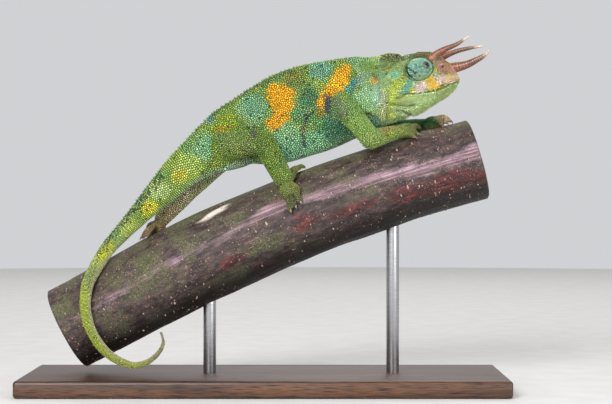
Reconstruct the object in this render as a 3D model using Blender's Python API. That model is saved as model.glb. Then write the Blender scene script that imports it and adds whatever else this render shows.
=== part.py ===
"""A male three-horned chameleon gripping a cut branch, at life size, on a plain display stand.

Sizes are in millimetres. +X runs towards the head, +Z is up, and the animal's right side faces -Y.
Heights are counted from a floor a little below the base's underside. Each mesh is lowered by that
much as it is made, so that the origin lies under the middle of the base.
"""

import math

import bmesh
import bpy
import numpy as np
from mathutils import Matrix, Vector

MM = 0.001
GAP = 0.3                     # clearance that neighbouring pieces keep
WELD = 0.03                   # points nearer than this become one after a cut
THINNEST = 0.01               # triangles flatter than this are dissolved

# The stand
FLOOR = 6.6                   # height of the base's underside, which every mesh is lowered by
BASE_LENGTH, BASE_WIDTH, BASE_THICK = 224.0, 80.0, 8.0
BASE_EDGE = 1.6
ROD_RADIUS = 3.0
ROD_X = {"rear": -26.0, "front": 60.0}
ROD_SIDES = 20

# The branch: x and z of its axis in the plane y = 0, and its radius there
PERCH = (
    (-93.0, 35.1, 20.0),
    (-63.0, 50.8, 20.3),
    (-30.5, 67.5, 20.5),
    (16.5, 87.9, 20.1),
    (63.5, 104.5, 19.5),
    (100.0, 115.0, 19.3),
)
PERCH_RINGS, PERCH_SIDES = 15, 24

# The trunk and tail: x, y, z of the axis, half height and half width, from the shoulders to the tail's tip
SPINE = (
    (45.0, 0.0, 145.5, 18.1, 8.3),
    (35.5, 0.0, 142.5, 19.6, 9.0),
    (25.5, 0.0, 139.5, 20.8, 9.5),
    (15.5, 0.0, 136.5, 21.0, 9.7),
    (6.5, 0.0, 133.0, 20.4, 9.4),
    (-3.0, 0.0, 129.9, 18.3, 8.8),
    (-11.5, 0.0, 127.0, 15.7, 8.0),
    (-18.5, 0.0, 123.2, 14.4, 7.2),
    (-25.5, 0.0, 119.4, 12.1, 6.4),
    (-31.5, 0.0, 115.4, 10.2, 5.8),
    (-38.5, 0.0, 109.8, 8.8, 5.4),
    (-45.5, -0.2, 102.9, 7.6, 5.0),
    (-52.6, -0.8, 95.6, 6.3, 4.4),
    (-60.2, -2.2, 87.4, 5.0, 3.8),
    (-67.2, -4.8, 79.8, 4.1, 3.3),
    (-73.5, -9.0, 72.2, 3.6, 3.0),
    (-78.0, -14.5, 64.3, 3.25, 2.8),
    (-81.0, -19.3, 56.4, 3.0, 2.6),
    (-81.6, -22.4, 48.6, 2.8, 2.5),
    (-80.4, -23.4, 40.2, 2.7, 2.35),
    (-76.8, -22.9, 32.2, 2.5, 2.2),
    (-72.2, -21.6, 26.1, 2.35, 2.05),
    (-66.2, -20.0, 21.9, 2.1, 1.85),
    (-59.7, -18.5, 19.7, 1.85, 1.65),
    (-53.7, -17.0, 21.1, 1.65, 1.5),
    (-49.1, -16.0, 24.7, 1.4, 1.3),
    (-46.6, -15.3, 29.6, 1.1, 1.0),
    (-47.6, -15.0, 35.0, 0.45, 0.45),
)
# Nodes along that axis: name, first and last station, rings and sides
LENGTHS = (
    ("torso", 0.0, 9.0, 22, 24),
    ("tail_base", 9.0, 13.0, 10, 20),
    ("tail_middle", 13.0, 16.5, 9, 16),
    ("tail_drop", 16.5, 20.0, 9, 12),
    ("tail_curl", 20.0, 23.0, 9, 10),
    ("tail_hook", 23.0, 25.2, 7, 10),
    ("tail_tip", 25.2, 27.0, 6, 8),
)
PEAR_TRUNK, PEAR_TAIL = 0.26, 0.08   # how much narrower the back is than the belly

# The crest: a row of low conical scales along the back
CREST_FIRST, CREST_LAST = 0.15, 15.2
CREST_PITCH = 2.7
CREST_HEIGHT, CREST_RADIUS = 1.15, 0.85
CREST_SIDES = 5
CREST_FLATNESS = 0.8          # width of a cone across the back, over its length along it

# The head's own frame: f forward from the nape, l to its left, u up
HEAD_AT = (56.4, 0.0, 149.7)
HEAD_PITCH, HEAD_YAW, HEAD_ROLL = 13.0, 18.0, 12.0
HEAD_STATIONS = (0.0, 6.0, 11.8, 16.8, 22.0, 26.5, 30.5, 33.4, 35.0)
# Half width and height of each long line of the head, at those stations
HEAD_LINES = {
    "crown": ((0.0,) * 9, (14.6, 13.9, 10.2, 8.8, 8.0, 6.6, 3.8, 1.8, -2.8)),
    "brow": (
        (3.4, 4.4, 5.3, 5.9, 6.0, 5.2, 4.1, 3.1, 1.7),
        (13.3, 12.9, 10.1, 9.9, 9.3, 7.9, 3.8, 0.6, -3.4),
    ),
    "temple": (
        (6.3, 6.5, 6.1, 5.7, 5.4, 5.1, 4.6, 3.7, 2.1),
        (7.0, 7.5, 6.4, 6.4, 6.0, 4.4, 1.2, -1.5, -4.2),
    ),
    "cheek": (
        (8.2, 9.0, 8.8, 7.8, 7.0, 6.4, 5.4, 4.2, 2.4),
        (-1.0, -0.9, -1.6, -2.6, -3.0, -3.3, -3.6, -4.0, -5.0),
    ),
    "lip": (
        (8.3, 9.3, 9.2, 8.4, 7.6, 6.8, 5.7, 4.3, 2.5),
        (-8.2, -8.7, -9.6, -10.4, -10.7, -10.3, -8.9, -7.3, -5.9),
    ),
    "jaw": (
        (7.6, 8.4, 8.3, 7.6, 6.8, 5.8, 4.6, 3.3, 1.8),
        (-12.8, -12.9, -13.2, -13.2, -12.8, -11.9, -10.4, -8.7, -6.9),
    ),
    "gular": (
        (5.2, 5.6, 5.2, 4.6, 4.0, 3.2, 2.3, 1.5, 0.8),
        (-16.6, -16.6, -16.6, -15.8, -14.3, -12.5, -10.9, -9.2, -7.6),
    ),
    "throat": ((0.0,) * 9, (-19.2, -18.4, -17.9, -16.7, -15.0, -12.9, -11.3, -9.6, -7.9)),
}
HEAD_RINGS = 22
SNOUT_TIP = (35.9, 0.0, -5.6)
HEAD_SPAN_STEPS = 2           # segments between neighbouring long lines
NECK_RINGS = 7

# The mouth line along the head, and where the jaw ends behind
MOUTH = (
    (9.6, -9.7),
    (14.8, -10.7),
    (20.0, -11.2),
    (25.3, -11.2),
    (29.4, -10.1),
    (33.4, -8.2),
    (38.0, -5.9),
)
JAW_DEPTH = 24.0
HEAD_HALF_SPAN = 14.0

# Eyes: turret, its rim and the pupil's opening
EYE_AT = (19.0, 6.5, 0.9)
TURRET_RADII = (6.2, 5.3, 5.3)
EYE_GAZE_FORWARD = 52.0
RIM_RADII = (2.5, 1.9)
RIM_RISE = 0.5
PUPIL_RADIUS = 1.25
PUPIL_DEPTH = 1.1
EYEBALL_RADIUS = 0.9

# Horns: points along each in the head's frame, and the radii there
HORNS = {
    "horn_nose": (
        (
            (31.0, 0.0, 0.0),
            (35.0, 0.0, -0.4),
            (40.3, 0.0, -0.4),
            (45.5, 0.0, 0.7),
            (48.8, 0.0, 1.7),
            (51.6, 0.0, 3.4),
        ),
        (2.6, 2.4, 1.85, 1.4, 1.05, 0.45),
    ),
    "horn_brow_right": (
        ((25.0, -4.0, 5.3), (28.5, -4.5, 6.9), (33.2, -5.3, 7.8), (38.8, -6.3, 8.3), (44.8, -7.3, 10.0)),
        (1.9, 1.75, 1.35, 0.95, 0.4),
    ),
    "horn_brow_left": (
        ((24.0, 3.6, 4.8), (29.0, 3.9, 7.5), (34.9, 4.8, 8.9), (40.8, 5.7, 9.2), (47.7, 6.7, 8.8)),
        (1.9, 1.6, 1.2, 0.95, 0.4),
    ),
}
HORN_RINGS, HORN_SIDES = 10, 12

NOSTRIL_AT = (29.8, 4.9, -0.2)
NOSTRIL_RADII = (0.95, 0.9, 0.7)

# Limbs, as points for each side: the ends of each bone and the radii at its start, bulge and end
LIMBS = {
    "upper_arm_right": ((36.4, -5.0, 140.6), (49.3, -14.2, 123.8), (6.4, 5.2, 5.0)),
    "forearm_right": ((49.3, -14.2, 123.8), (63.0, -9.4, 127.6), (4.7, 4.0, 3.1)),
    "thigh_right": ((-18.5, -3.5, 120.6), (-0.6, -12.5, 123.0), (7.6, 6.4, 5.4)),
    "shin_right": ((-0.6, -12.5, 123.0), (8.6, -16.5, 106.0), (5.4, 5.2, 4.7)),
    "upper_arm_left": ((39.8, 5.0, 142.5), (57.0, 14.0, 129.5), (6.4, 5.6, 4.4)),
    "forearm_left": ((57.0, 14.0, 129.5), (77.0, 8.4, 131.6), (4.4, 3.8, 2.9)),
    "thigh_left": ((-20.0, 3.5, 118.5), (-35.5, 11.5, 101.8), (8.0, 6.6, 5.2)),
    "shin_left": ((-35.5, 11.5, 101.8), (-49.0, 8.8, 87.0), (5.0, 4.7, 3.9)),
}
LIMB_RINGS, LIMB_SIDES = 8, 14

# Feet on the branch: x, and angle round it from its top towards the near side, of the palm; then the toe
# count, root, tip and arch of each of the two bundles
FEET = {
    "hind_foot_right": (
        (11.8, 56.0),
        (3, (12.6, 62.0), (14.4, 75.0), 2.5),
        (2, (11.6, 38.0), (17.0, -3.0), 2.9),
    ),
    "fore_foot_right": (
        (66.0, 16.0),
        (2, (66.8, 19.0), (70.3, 29.0), 2.6),
        (3, (67.2, 8.0), (71.4, -20.0), 3.4),
    ),
    "fore_foot_left": (
        (79.4, -15.0),
        (3, (80.2, -8.0), (84.6, 12.0), 4.1),
        (2, (80.6, -25.0), (84.2, -50.0), 2.8),
    ),
    "hind_foot_left": (
        (-51.8, -15.0),
        (2, (-52.4, -8.0), (-56.2, 12.0), 3.3),
        (3, (-52.8, -27.0), (-55.4, -54.0), 2.8),
    ),
}
PALM_RADII = (4.8, 4.3, 3.6)
PALM_HEIGHT = 3.1
TOE_RADIUS, TOE_TIP_RADIUS = 1.3, 1.0
TOE_SPREAD_ROOT, TOE_SPREAD_TIP = 1.5, 2.35
TOE_SIDES, TOE_RINGS = 6, 5
CLAW_LENGTH, CLAW_RADIUS, CLAW_TIP_RADIUS = 2.3, 0.6, 0.12
CLAW_SIDES = 5

COLOURS = {
    "skin": ((0.16, 0.34, 0.12), 0.55, 0.0),
    "horn": ((0.36, 0.17, 0.11), 0.4, 0.0),
    "eye": ((0.02, 0.02, 0.02), 0.1, 0.0),
    "bark": ((0.17, 0.10, 0.10), 0.8, 0.0),
    "base": ((0.09, 0.05, 0.03), 0.45, 0.0),
    "rod": ((0.55, 0.55, 0.56), 0.3, 1.0),
}


def material(name):
    """The plain finish of one kind of piece."""
    found = bpy.data.materials.get(name)
    if found:
        return found
    colour, roughness, metallic = COLOURS[name]
    made = bpy.data.materials.new(name)
    made.use_nodes = True
    shader = made.node_tree.nodes["Principled BSDF"]
    shader.inputs["Base Color"].default_value = (*colour, 1.0)
    shader.inputs["Roughness"].default_value = roughness
    shader.inputs["Metallic"].default_value = metallic
    return made


def new_object(name, finish, vertices, faces):
    """One closed mesh object from points in millimetres."""
    mesh = bpy.data.meshes.new(name)
    down = Vector((0, 0, FLOOR))
    mesh.from_pydata([(Vector(v) - down) * MM for v in vertices], [], faces)
    shape = bmesh.new()
    shape.from_mesh(mesh)
    bmesh.ops.recalc_face_normals(shape, faces=shape.faces)
    shape.to_mesh(mesh)
    shape.free()
    mesh.materials.append(material(finish))
    made = bpy.data.objects.new(name, mesh)
    bpy.context.scene.collection.objects.link(made)
    return made


def spline(points, t):
    """A Catmull-Rom curve through the points, at t in stations."""
    points = np.asarray(points, float)
    last = len(points) - 1
    i = int(min(max(math.floor(t), 0), last - 1))
    s = t - i
    p1, p2 = points[i], points[i + 1]
    p0 = points[i - 1] if i > 0 else 2 * p1 - p2
    p3 = points[i + 2] if i + 2 <= last else 2 * p2 - p1
    bend, twist = 2 * p0 - 5 * p1 + 4 * p2 - p3, 3 * p1 - p0 - 3 * p2 + p3
    return 0.5 * (2 * p1 + (p2 - p0) * s + bend * s**2 + twist * s**3)


def slope(points, t):
    """The unit direction of that curve at t."""
    step = 0.01
    last = len(points) - 1
    d = spline(points, min(t + step, last)) - spline(points, max(t - step, 0))
    return d / np.linalg.norm(d)


def around(centre, first, second, radius, count):
    """Points on a circle: the centre, its two axes and its radius."""
    turns = [2 * math.pi * k / count for k in range(count)]
    return [centre + radius * (first * math.cos(a) + second * math.sin(a)) for a in turns]


def loft(name, finish, rings, start=None, end=None):
    """A closed skin over rings of equal count, with each end flat or drawn to a point."""
    count = len(rings[0])
    vertices = [p for ring in rings for p in ring]
    faces = []
    for r in range(len(rings) - 1):
        for k in range(count):
            a, b = r * count + k, r * count + (k + 1) % count
            faces.append((a, b, b + count, a + count))
    for ring_start, centre in ((0, start), ((len(rings) - 1) * count, end)):
        ring = range(ring_start, ring_start + count)
        if centre is None:
            faces.append(tuple(ring))
        else:
            tip = len(vertices)
            vertices.append(centre)
            faces.extend((ring_start + k, ring_start + (k + 1) % count, tip) for k in range(count))
    return new_object(name, finish, vertices, faces)


def evaluated(piece):
    """Applies a piece's modifiers to its mesh."""
    bpy.context.view_layer.update()
    graph = bpy.context.evaluated_depsgraph_get()
    mesh = bpy.data.meshes.new_from_object(piece.evaluated_get(graph))
    piece.modifiers.clear()
    piece.data = mesh
    return piece


def largest_only(piece):
    """Keeps the largest closed surface of a piece, which drops any scrap that a cut leaves."""
    shape = bmesh.new()
    shape.from_mesh(piece.data)
    bmesh.ops.remove_doubles(shape, verts=shape.verts, dist=WELD * MM)
    bmesh.ops.dissolve_degenerate(shape, edges=shape.edges, dist=THINNEST * MM)
    left, islands = set(shape.verts), []
    while left:
        front = [left.pop()]
        island = set(front)
        while front:
            for edge in front.pop().link_edges:
                for vert in edge.verts:
                    if vert in left:
                        left.remove(vert)
                        island.add(vert)
                        front.append(vert)
        islands.append(island)
    islands.sort(key=len)
    bmesh.ops.delete(shape, geom=[v for island in islands[:-1] for v in island], context="VERTS")
    shape.to_mesh(piece.data)
    shape.free()
    return piece


def settle(piece):
    """Triangulates a finished piece and dissolves its thinnest triangles, as long as it stays closed."""
    for thinnest in (THINNEST, THINNEST / 3, 0.0):
        shape = bmesh.new()
        shape.from_mesh(piece.data)
        bmesh.ops.triangulate(shape, faces=shape.faces)
        if thinnest:
            bmesh.ops.dissolve_degenerate(shape, edges=shape.edges, dist=thinnest * MM)
            bmesh.ops.triangulate(shape, faces=shape.faces)
        if all(len(edge.link_faces) == 2 for edge in shape.edges):
            shape.to_mesh(piece.data)
            shape.free()
            return
        shape.free()


def fuse(piece, others):
    """Joins other closed pieces onto this one and removes them."""
    together = bpy.data.collections.new(piece.name + "_pieces")
    bpy.context.scene.collection.children.link(together)
    for other in others:
        bpy.context.scene.collection.objects.unlink(other)
        together.objects.link(other)
    union = piece.modifiers.new("union", "BOOLEAN")
    union.operation, union.solver = "UNION", "EXACT"
    union.operand_type, union.collection = "COLLECTION", together
    evaluated(piece)
    for other in others:
        bpy.data.objects.remove(other)
    bpy.data.collections.remove(together)
    return largest_only(piece)


def carve(piece, cutter, operation="DIFFERENCE"):
    """Cuts a piece with another and removes the cutter."""
    cut = piece.modifiers.new("cut", "BOOLEAN")
    cut.operation, cut.solver, cut.object = operation, "EXACT", cutter
    evaluated(piece)
    bpy.data.objects.remove(cutter)
    return largest_only(piece)


def grown(piece, by=GAP):
    """A copy of a piece, larger by a clearance all round."""
    copy = piece.copy()
    copy.data = piece.data.copy()
    bpy.context.scene.collection.objects.link(copy)
    shape = bmesh.new()
    shape.from_mesh(copy.data)
    shape.normal_update()
    for vert in shape.verts:
        vert.co += vert.normal * by * MM * max(vert.calc_shell_factor(), 1.0)
    shape.to_mesh(copy.data)
    shape.free()
    return copy


def clear_of(piece, *neighbours):
    """Trims a piece back so that it meets its neighbours face to face."""
    for neighbour in neighbours:
        carve(piece, grown(neighbour))
    return piece


def duplicate(piece, name):
    copy = piece.copy()
    copy.data = piece.data.copy()
    copy.name = name
    bpy.context.scene.collection.objects.link(copy)
    return copy


def ellipsoid(name, finish, centre, radii, turn=None, segments=14, rings=9):
    """A closed ellipsoid with its poles along its own third axis."""
    turn = turn or Matrix.Identity(3)
    made = []
    for i in range(1, rings):
        polar = math.pi * i / rings
        made.append([
            Vector(centre) + turn @ Vector((
                radii[0] * math.sin(polar) * math.cos(2 * math.pi * k / segments),
                radii[1] * math.sin(polar) * math.sin(2 * math.pi * k / segments),
                radii[2] * math.cos(polar),
            ))
            for k in range(segments)
        ])
    top = Vector(centre) + turn @ Vector((0, 0, radii[2]))
    foot = Vector(centre) - turn @ Vector((0, 0, radii[2]))
    return loft(name, finish, made, top, foot)


def tube(name, finish, points, radii, sides, rings, blunt=True):
    """A tapered tube along a smooth curve through the points, with rounded or pointed ends."""
    last = len(points) - 1
    side = None
    made = []
    for r in range(rings):
        t = last * r / (rings - 1)
        centre, ahead = Vector(spline(points, t)), Vector(slope(points, t))
        if side is None:
            side = ahead.orthogonal().normalized()
        side = (side - ahead * side.dot(ahead)).normalized()
        other = ahead.cross(side)
        radius = float(spline([(v,) for v in radii], t)[0])
        made.append(around(centre, side, other, radius, sides))
    ends = []
    for t, way in ((0, -1), (last, 1)):
        reach = float(radii[0 if t == 0 else -1]) * (0.55 if blunt else 0.8)
        ends.append(Vector(spline(points, t)) + Vector(slope(points, t)) * way * reach)
    return loft(name, finish, made, *ends)


# The branch

def perch_frame(x):
    """The branch at x, as in perch_station."""
    low, high = 0.0, len(PERCH) - 1.0
    for _ in range(40):
        middle = (low + high) / 2
        if spline(PERCH, middle)[0] < x:
            low = middle
        else:
            high = middle
    return perch_station(low)


def perch_station(t):
    """The branch's axis point at t, its upward normal in the plane y = 0, and its radius."""
    x, z, radius = spline(PERCH, t).tolist()
    run, rise = slope([p[:2] for p in PERCH], t).tolist()
    return Vector((x, 0, z)), Vector((-rise, 0, run)), radius


def on_perch(x, angle, height):
    """A point that stands over the branch at x: angle in degrees from its top towards the near side."""
    a = math.radians(angle)
    foot = x
    for _ in range(6):
        centre, up, radius = perch_frame(foot)
        point = centre + (up * math.cos(a) + Vector((0, -1, 0)) * math.sin(a)) * (radius + height)
        foot += x - point.x
    return point


def perch_out(x, angle):
    """The direction straight out of the bark there."""
    return (on_perch(x, angle, 4.0) - on_perch(x, angle, 0.0)).normalized()


def perch():
    """The cut branch, slightly thicker in the middle, with flat sawn ends."""
    rings = []
    for r in range(PERCH_RINGS):
        centre, up, radius = perch_station((len(PERCH) - 1) * r / (PERCH_RINGS - 1))
        rings.append(around(centre, up, Vector((0, -1, 0)), radius, PERCH_SIDES))
    return loft("perch", "bark", rings)


# The trunk and tail

def section(t, sides):
    """The ring of the trunk or tail at station t, from the middle of the back."""
    axis = [s[:3] for s in SPINE]
    centre, ahead = Vector(spline(axis, t)), Vector(slope(axis, t))
    back = Vector((ahead.z, 0, -ahead.x)).normalized()
    back = (back - ahead * back.dot(ahead)).normalized()
    side = ahead.cross(back)
    half_height, half_width = spline([s[3:] for s in SPINE], t).tolist()
    pear = PEAR_TRUNK + (PEAR_TAIL - PEAR_TRUNK) * min(max((t - 8) / 6, 0), 1)
    ring = []
    for k in range(sides):
        a = 2 * math.pi * k / sides
        ring.append(
            centre
            + back * half_height * math.cos(a)
            + side * half_width * math.sin(a) * (1 - pear * math.cos(a))
        )
    return ring


def station_step(t):
    """How many stations one millimetre of the axis spans at t."""
    axis = [s[:3] for s in SPINE]
    here, there = spline(axis, t), spline(axis, t + 0.02)
    return 0.02 / float(np.linalg.norm(there - here))


def crest_scales(name, first, last):
    """The conical scales of the crest that stand on one length of the back."""
    made = []
    t, n = CREST_FIRST, 0
    while t < CREST_LAST:
        rise = CREST_HEIGHT * (1.0 if n % 2 else 0.8) * min(1.0, 0.45 + (CREST_LAST - t) / 8)
        radius = CREST_RADIUS * min(1.0, 0.6 + (CREST_LAST - t) / 12)
        room = (radius + 2 * GAP) * station_step(t)
        if first + room < t < last - room:
            ring = section(t, 24)
            axis = [s[:3] for s in SPINE]
            ahead = Vector(slope(axis, t))
            out = (ring[0] - Vector(spline(axis, t))).normalized()
            side = out.cross(ahead) * CREST_FLATNESS
            base = around(ring[0] - out * radius * 1.2, ahead, side, radius, CREST_SIDES)
            tip = ring[0] + out * rise + ahead * 0.3
            made.append(loft(f"{name}_scale", "skin", [base], None, tip))
        n += 1
        t += CREST_PITCH * (0.85 if n % 3 else 1.15) * station_step(t)
    return made


def body_length(name, first, last, rings, sides):
    """One length of the trunk or tail, between two cuts square to its axis."""
    first += 0 if first == 0 else GAP / 2 * station_step(first)
    closed_tip = last >= len(SPINE) - 1
    last -= 0 if closed_tip else GAP / 2 * station_step(last)
    made = [section(first + (last - first) * r / (rings - 1), sides) for r in range(rings)]
    tip = None
    if closed_tip:
        axis = [s[:3] for s in SPINE]
        tip = Vector(spline(axis, last)) + Vector(slope(axis, last)) * SPINE[-1][3]
    piece = loft(name, "skin", made, None, tip)
    scales = crest_scales(name, first, last)
    return fuse(piece, scales) if scales else piece


# The head

HEAD_TURN = (
    Matrix.Rotation(math.radians(-HEAD_YAW), 3, "Z")
    @ Matrix.Rotation(math.radians(-HEAD_PITCH), 3, "Y")
    @ Matrix.Rotation(math.radians(-HEAD_ROLL), 3, "X")
)


def head_point(f, l, u):
    """A point of the head's own frame, in the model's."""
    return Vector(HEAD_AT) + HEAD_TURN @ Vector((f, l, u))


def head_ring(f):
    """The head's outline at f, from the crown down its left side and up its right."""
    stations = np.array(HEAD_STATIONS)
    t = float(np.interp(f, stations, np.arange(len(stations))))
    half = []
    for widths, heights in HEAD_LINES.values():
        l, u = spline(list(zip(widths, heights)), t).tolist()
        half.append((max(l, 0.0), u))
    loop = half + [(-l, u) for l, u in reversed(half[1:-1])]
    count = len(loop)
    ring = []
    for k in range(count * HEAD_SPAN_STEPS):
        i, s = divmod(k, HEAD_SPAN_STEPS)
        window = [loop[(i + j) % count] for j in (-1, 0, 1, 2)]
        l, u = spline(window, 1 + s / HEAD_SPAN_STEPS).tolist()
        ring.append(head_point(f, l, u))
    return ring


def prism(name, outline, half_span):
    """A block whose side view, in the head's frame, is the outline."""
    near = [head_point(f, -half_span, u) for f, u in outline]
    far = [head_point(f, half_span, u) for f, u in outline]
    return loft(name, "skin", [near, far])


def jaw_region(shift):
    """The space of the lower jaw: below the mouth line and ahead of the throat's fold."""
    line = [(f, u - shift) for f, u in MOUTH]
    line[0] = (MOUTH[0][0] + shift, line[0][1])
    below = [(MOUTH[-1][0], -JAW_DEPTH), (line[0][0], -JAW_DEPTH)]
    return prism("jaw_region", line + below, HEAD_HALF_SPAN)


def turret_turn(side):
    """Axes of an eye turret, with the third along the gaze."""
    forward = math.radians(EYE_GAZE_FORWARD)
    gaze = HEAD_TURN @ Vector((math.sin(forward), side * math.cos(forward), 0.0))
    first = (HEAD_TURN @ Vector((0, 0, 1))).normalized()
    return Matrix((first, gaze.cross(first), gaze)).transposed()


def turret_at(side):
    return head_point(EYE_AT[0], side * EYE_AT[1], EYE_AT[2])


def turret_dome(name, side, more=0.0):
    """The rounded body of a turret, or of its socket where more is its clearance."""
    forward, lateral, upward = (r + more for r in TURRET_RADII)
    poles_across = HEAD_TURN @ Matrix(((1, 0, 0), (0, 0, -1), (0, 1, 0)))
    return ellipsoid(name, "skin", turret_at(side), (forward, upward, lateral), poles_across, 18, 11)


def turret_reach(gaze):
    """How far the turret's surface lies from its middle along the gaze."""
    along = HEAD_TURN.inverted() @ gaze
    forward, lateral, upward = TURRET_RADII
    return 1 / math.sqrt((along.x / forward) ** 2 + (along.y / lateral) ** 2 + (along.z / upward) ** 2)


def eye(side, tag):
    """A scaly turret with a raised rim round the pupil, and the eyeball in its opening."""
    dome = turret_dome(f"eye_{tag}", side)
    turn = turret_turn(side)
    across, upward, gaze = turn.col
    lip = turret_at(side) + gaze * turret_reach(gaze)

    def ring(radius, along, count):
        return around(lip + gaze * along, across, upward, radius, count)

    rim = [ring(RIM_RADII[0], -1.6, 14), ring(RIM_RADII[1], RIM_RISE, 14)]
    fuse(dome, [loft(f"rim_{tag}", "skin", rim)])
    opening = [ring(PUPIL_RADIUS, RIM_RISE - PUPIL_DEPTH, 12), ring(PUPIL_RADIUS, RIM_RISE + 1, 12)]
    carve(dome, loft(f"opening_{tag}", "skin", opening))
    floor = RIM_RISE - PUPIL_DEPTH + GAP
    ball = ellipsoid(f"eyeball_{tag}", "eye", lip + gaze * floor, (EYEBALL_RADIUS,) * 3, turn, 10, 8)
    carve(ball, loft("below", "eye", [ring(3, floor - 3, 8), ring(3, floor, 8)]))
    return dome


def horn(name, points, radii):
    """One horn, tapering along its curve in the head's frame."""
    return tube(name, "horn", [head_point(*p) for p in points], radii, HORN_SIDES, HORN_RINGS, False)


def head_and_jaw():
    """The head, parted at the mouth line, with sockets, nostrils and horns."""
    first, last = HEAD_STATIONS[0] + GAP, HEAD_STATIONS[-1]
    shares = [1 - (1 - r / (HEAD_RINGS - 1)) ** 1.25 for r in range(HEAD_RINGS)]
    rings = [head_ring(first + (last - first) * share) for share in shares]
    whole = loft("head", "skin", rings, None, head_point(*SNOUT_TIP))
    jaw = carve(duplicate(whole, "jaw"), jaw_region(GAP / 2), "INTERSECT")
    jaw.name = "jaw"
    carve(whole, jaw_region(-GAP / 2))
    turrets = []
    for side, tag in ((1, "left"), (-1, "right")):
        turret = eye(side, tag)
        carve(whole, turret_dome("socket", side, GAP))
        pit = head_point(NOSTRIL_AT[0], side * NOSTRIL_AT[1], NOSTRIL_AT[2])
        carve(whole, ellipsoid("nostril", "skin", pit, NOSTRIL_RADII, HEAD_TURN, 8, 6))
        turrets.append(turret)
    for name, (points, radii) in HORNS.items():
        clear_of(horn(name, points, radii), whole, *turrets)
    return whole, jaw


def neck(torso_ring):
    """The neck: rings that turn from the trunk's first section to the head's last."""
    count = len(torso_ring)
    near_head = head_ring(HEAD_STATIONS[0])
    along_trunk = -Vector(slope([s[:3] for s in SPINE], 0.0))
    along_head = HEAD_TURN @ Vector((1, 0, 0))
    made = []
    for r in range(NECK_RINGS):
        t = r / (NECK_RINGS - 1)
        ring = []
        for k in range(count):
            a = torso_ring[k] + along_trunk * GAP
            b = near_head[k]
            pull = (b - a).length
            h1, h2 = 2 * t**3 - 3 * t**2 + 1, t**3 - 2 * t**2 + t
            h3, h4 = -2 * t**3 + 3 * t**2, t**3 - t**2
            ring.append(a * h1 + along_trunk * pull * h2 + b * h3 + along_head * pull * h4)
        made.append(ring)
    return loft("neck", "skin", made)


# The limbs

def limb(name):
    """One length of a limb, rounded at both ends."""
    start, end, (first, bulge, last) = LIMBS[name]
    ahead = (Vector(end) - Vector(start)).normalized()
    side = ahead.orthogonal().normalized()
    other = ahead.cross(side)
    length = (Vector(end) - Vector(start)).length
    rings = []
    for r in range(LIMB_RINGS):
        s = r / (LIMB_RINGS - 1)
        along = -first + (length + first + last) * (1 - math.cos(math.pi * (s * 0.86 + 0.07))) / 2
        t = min(max(along / length, 0.0), 1.0)
        radius = float(spline([(first,), (bulge,), (last,)], 2 * t)[0])
        over = max(-along, along - length, 0.0)
        radius *= math.sqrt(max(1 - (over / radius) ** 2, 0.04))
        centre = Vector(start) + ahead * along
        rings.append(around(centre, side, other, radius, LIMB_SIDES))
    return loft(name, "skin", rings, Vector(start) - ahead * first, Vector(end) + ahead * last)


def toe(name, root, tip, arch, lateral, index, count):
    """One toe and its claw, laid over the branch from the palm to the toe's tip."""
    place = index - (count - 1) / 2
    points, radii = [], []
    for t, height, radius, spread in (
        (-0.15, arch * 0.9, TOE_RADIUS * 1.15, TOE_SPREAD_ROOT),
        (0.3, arch, TOE_RADIUS * 1.1, (TOE_SPREAD_ROOT + TOE_SPREAD_TIP) / 2),
        (0.7, arch * 0.75, TOE_RADIUS, TOE_SPREAD_TIP),
        (1.0, TOE_TIP_RADIUS + 0.25, TOE_TIP_RADIUS, TOE_SPREAD_TIP * 1.05),
    ):
        x = root[0] + (tip[0] - root[0]) * t + lateral[0] * place * spread
        angle = root[1] + (tip[1] - root[1]) * t + math.degrees(lateral[1] * place * spread / PERCH[0][2])
        points.append(on_perch(x, angle, height))
        radii.append(radius)
    body = tube(name, "skin", points, radii, TOE_SIDES, TOE_RINGS)
    ahead = (points[-1] - points[-2]).normalized()
    out = perch_out(points[-1].x, tip[1])
    flat = (ahead - out * ahead.dot(out)).normalized()
    claw_line = [
        points[-1] + out * 0.15,
        points[-1] + flat * CLAW_LENGTH * 0.55 + out * 0.25,
        points[-1] + flat * CLAW_LENGTH - out * 0.7,
    ]
    radii = (CLAW_RADIUS, CLAW_RADIUS * 0.75, CLAW_TIP_RADIUS)
    return [body, tube(name + "_claw", "horn", claw_line, radii, CLAW_SIDES, 4, False)]


def foot(name, lower_limb, branch):
    """A foot: the palm and two opposed bundles of toes, gripping the branch."""
    (px, pangle), *bundles = FEET[name]
    centre = on_perch(px, pangle, PALM_HEIGHT)
    out = perch_out(px, pangle)
    side = out.cross(Vector((0, -1, 0)) if abs(out.y) < 0.9 else Vector((1, 0, 0))).normalized()
    turn = Matrix((side, out.cross(side), out)).transposed()
    palm = ellipsoid(name, "skin", centre, PALM_RADII, turn, 14, 8)
    toes = []
    for b, (count, root, tip, arch) in enumerate(bundles):
        run = Vector((tip[0] - root[0], math.radians(tip[1] - root[1]) * PERCH[0][2]))
        run.normalize()
        lateral = (-run.y, run.x)
        for i in range(count):
            toes += toe(f"{name}_toe_{b}_{i}", root, tip, arch, lateral, i, count)
    fuse(palm, toes)
    return clear_of(palm, lower_limb, branch)


# The stand

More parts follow.
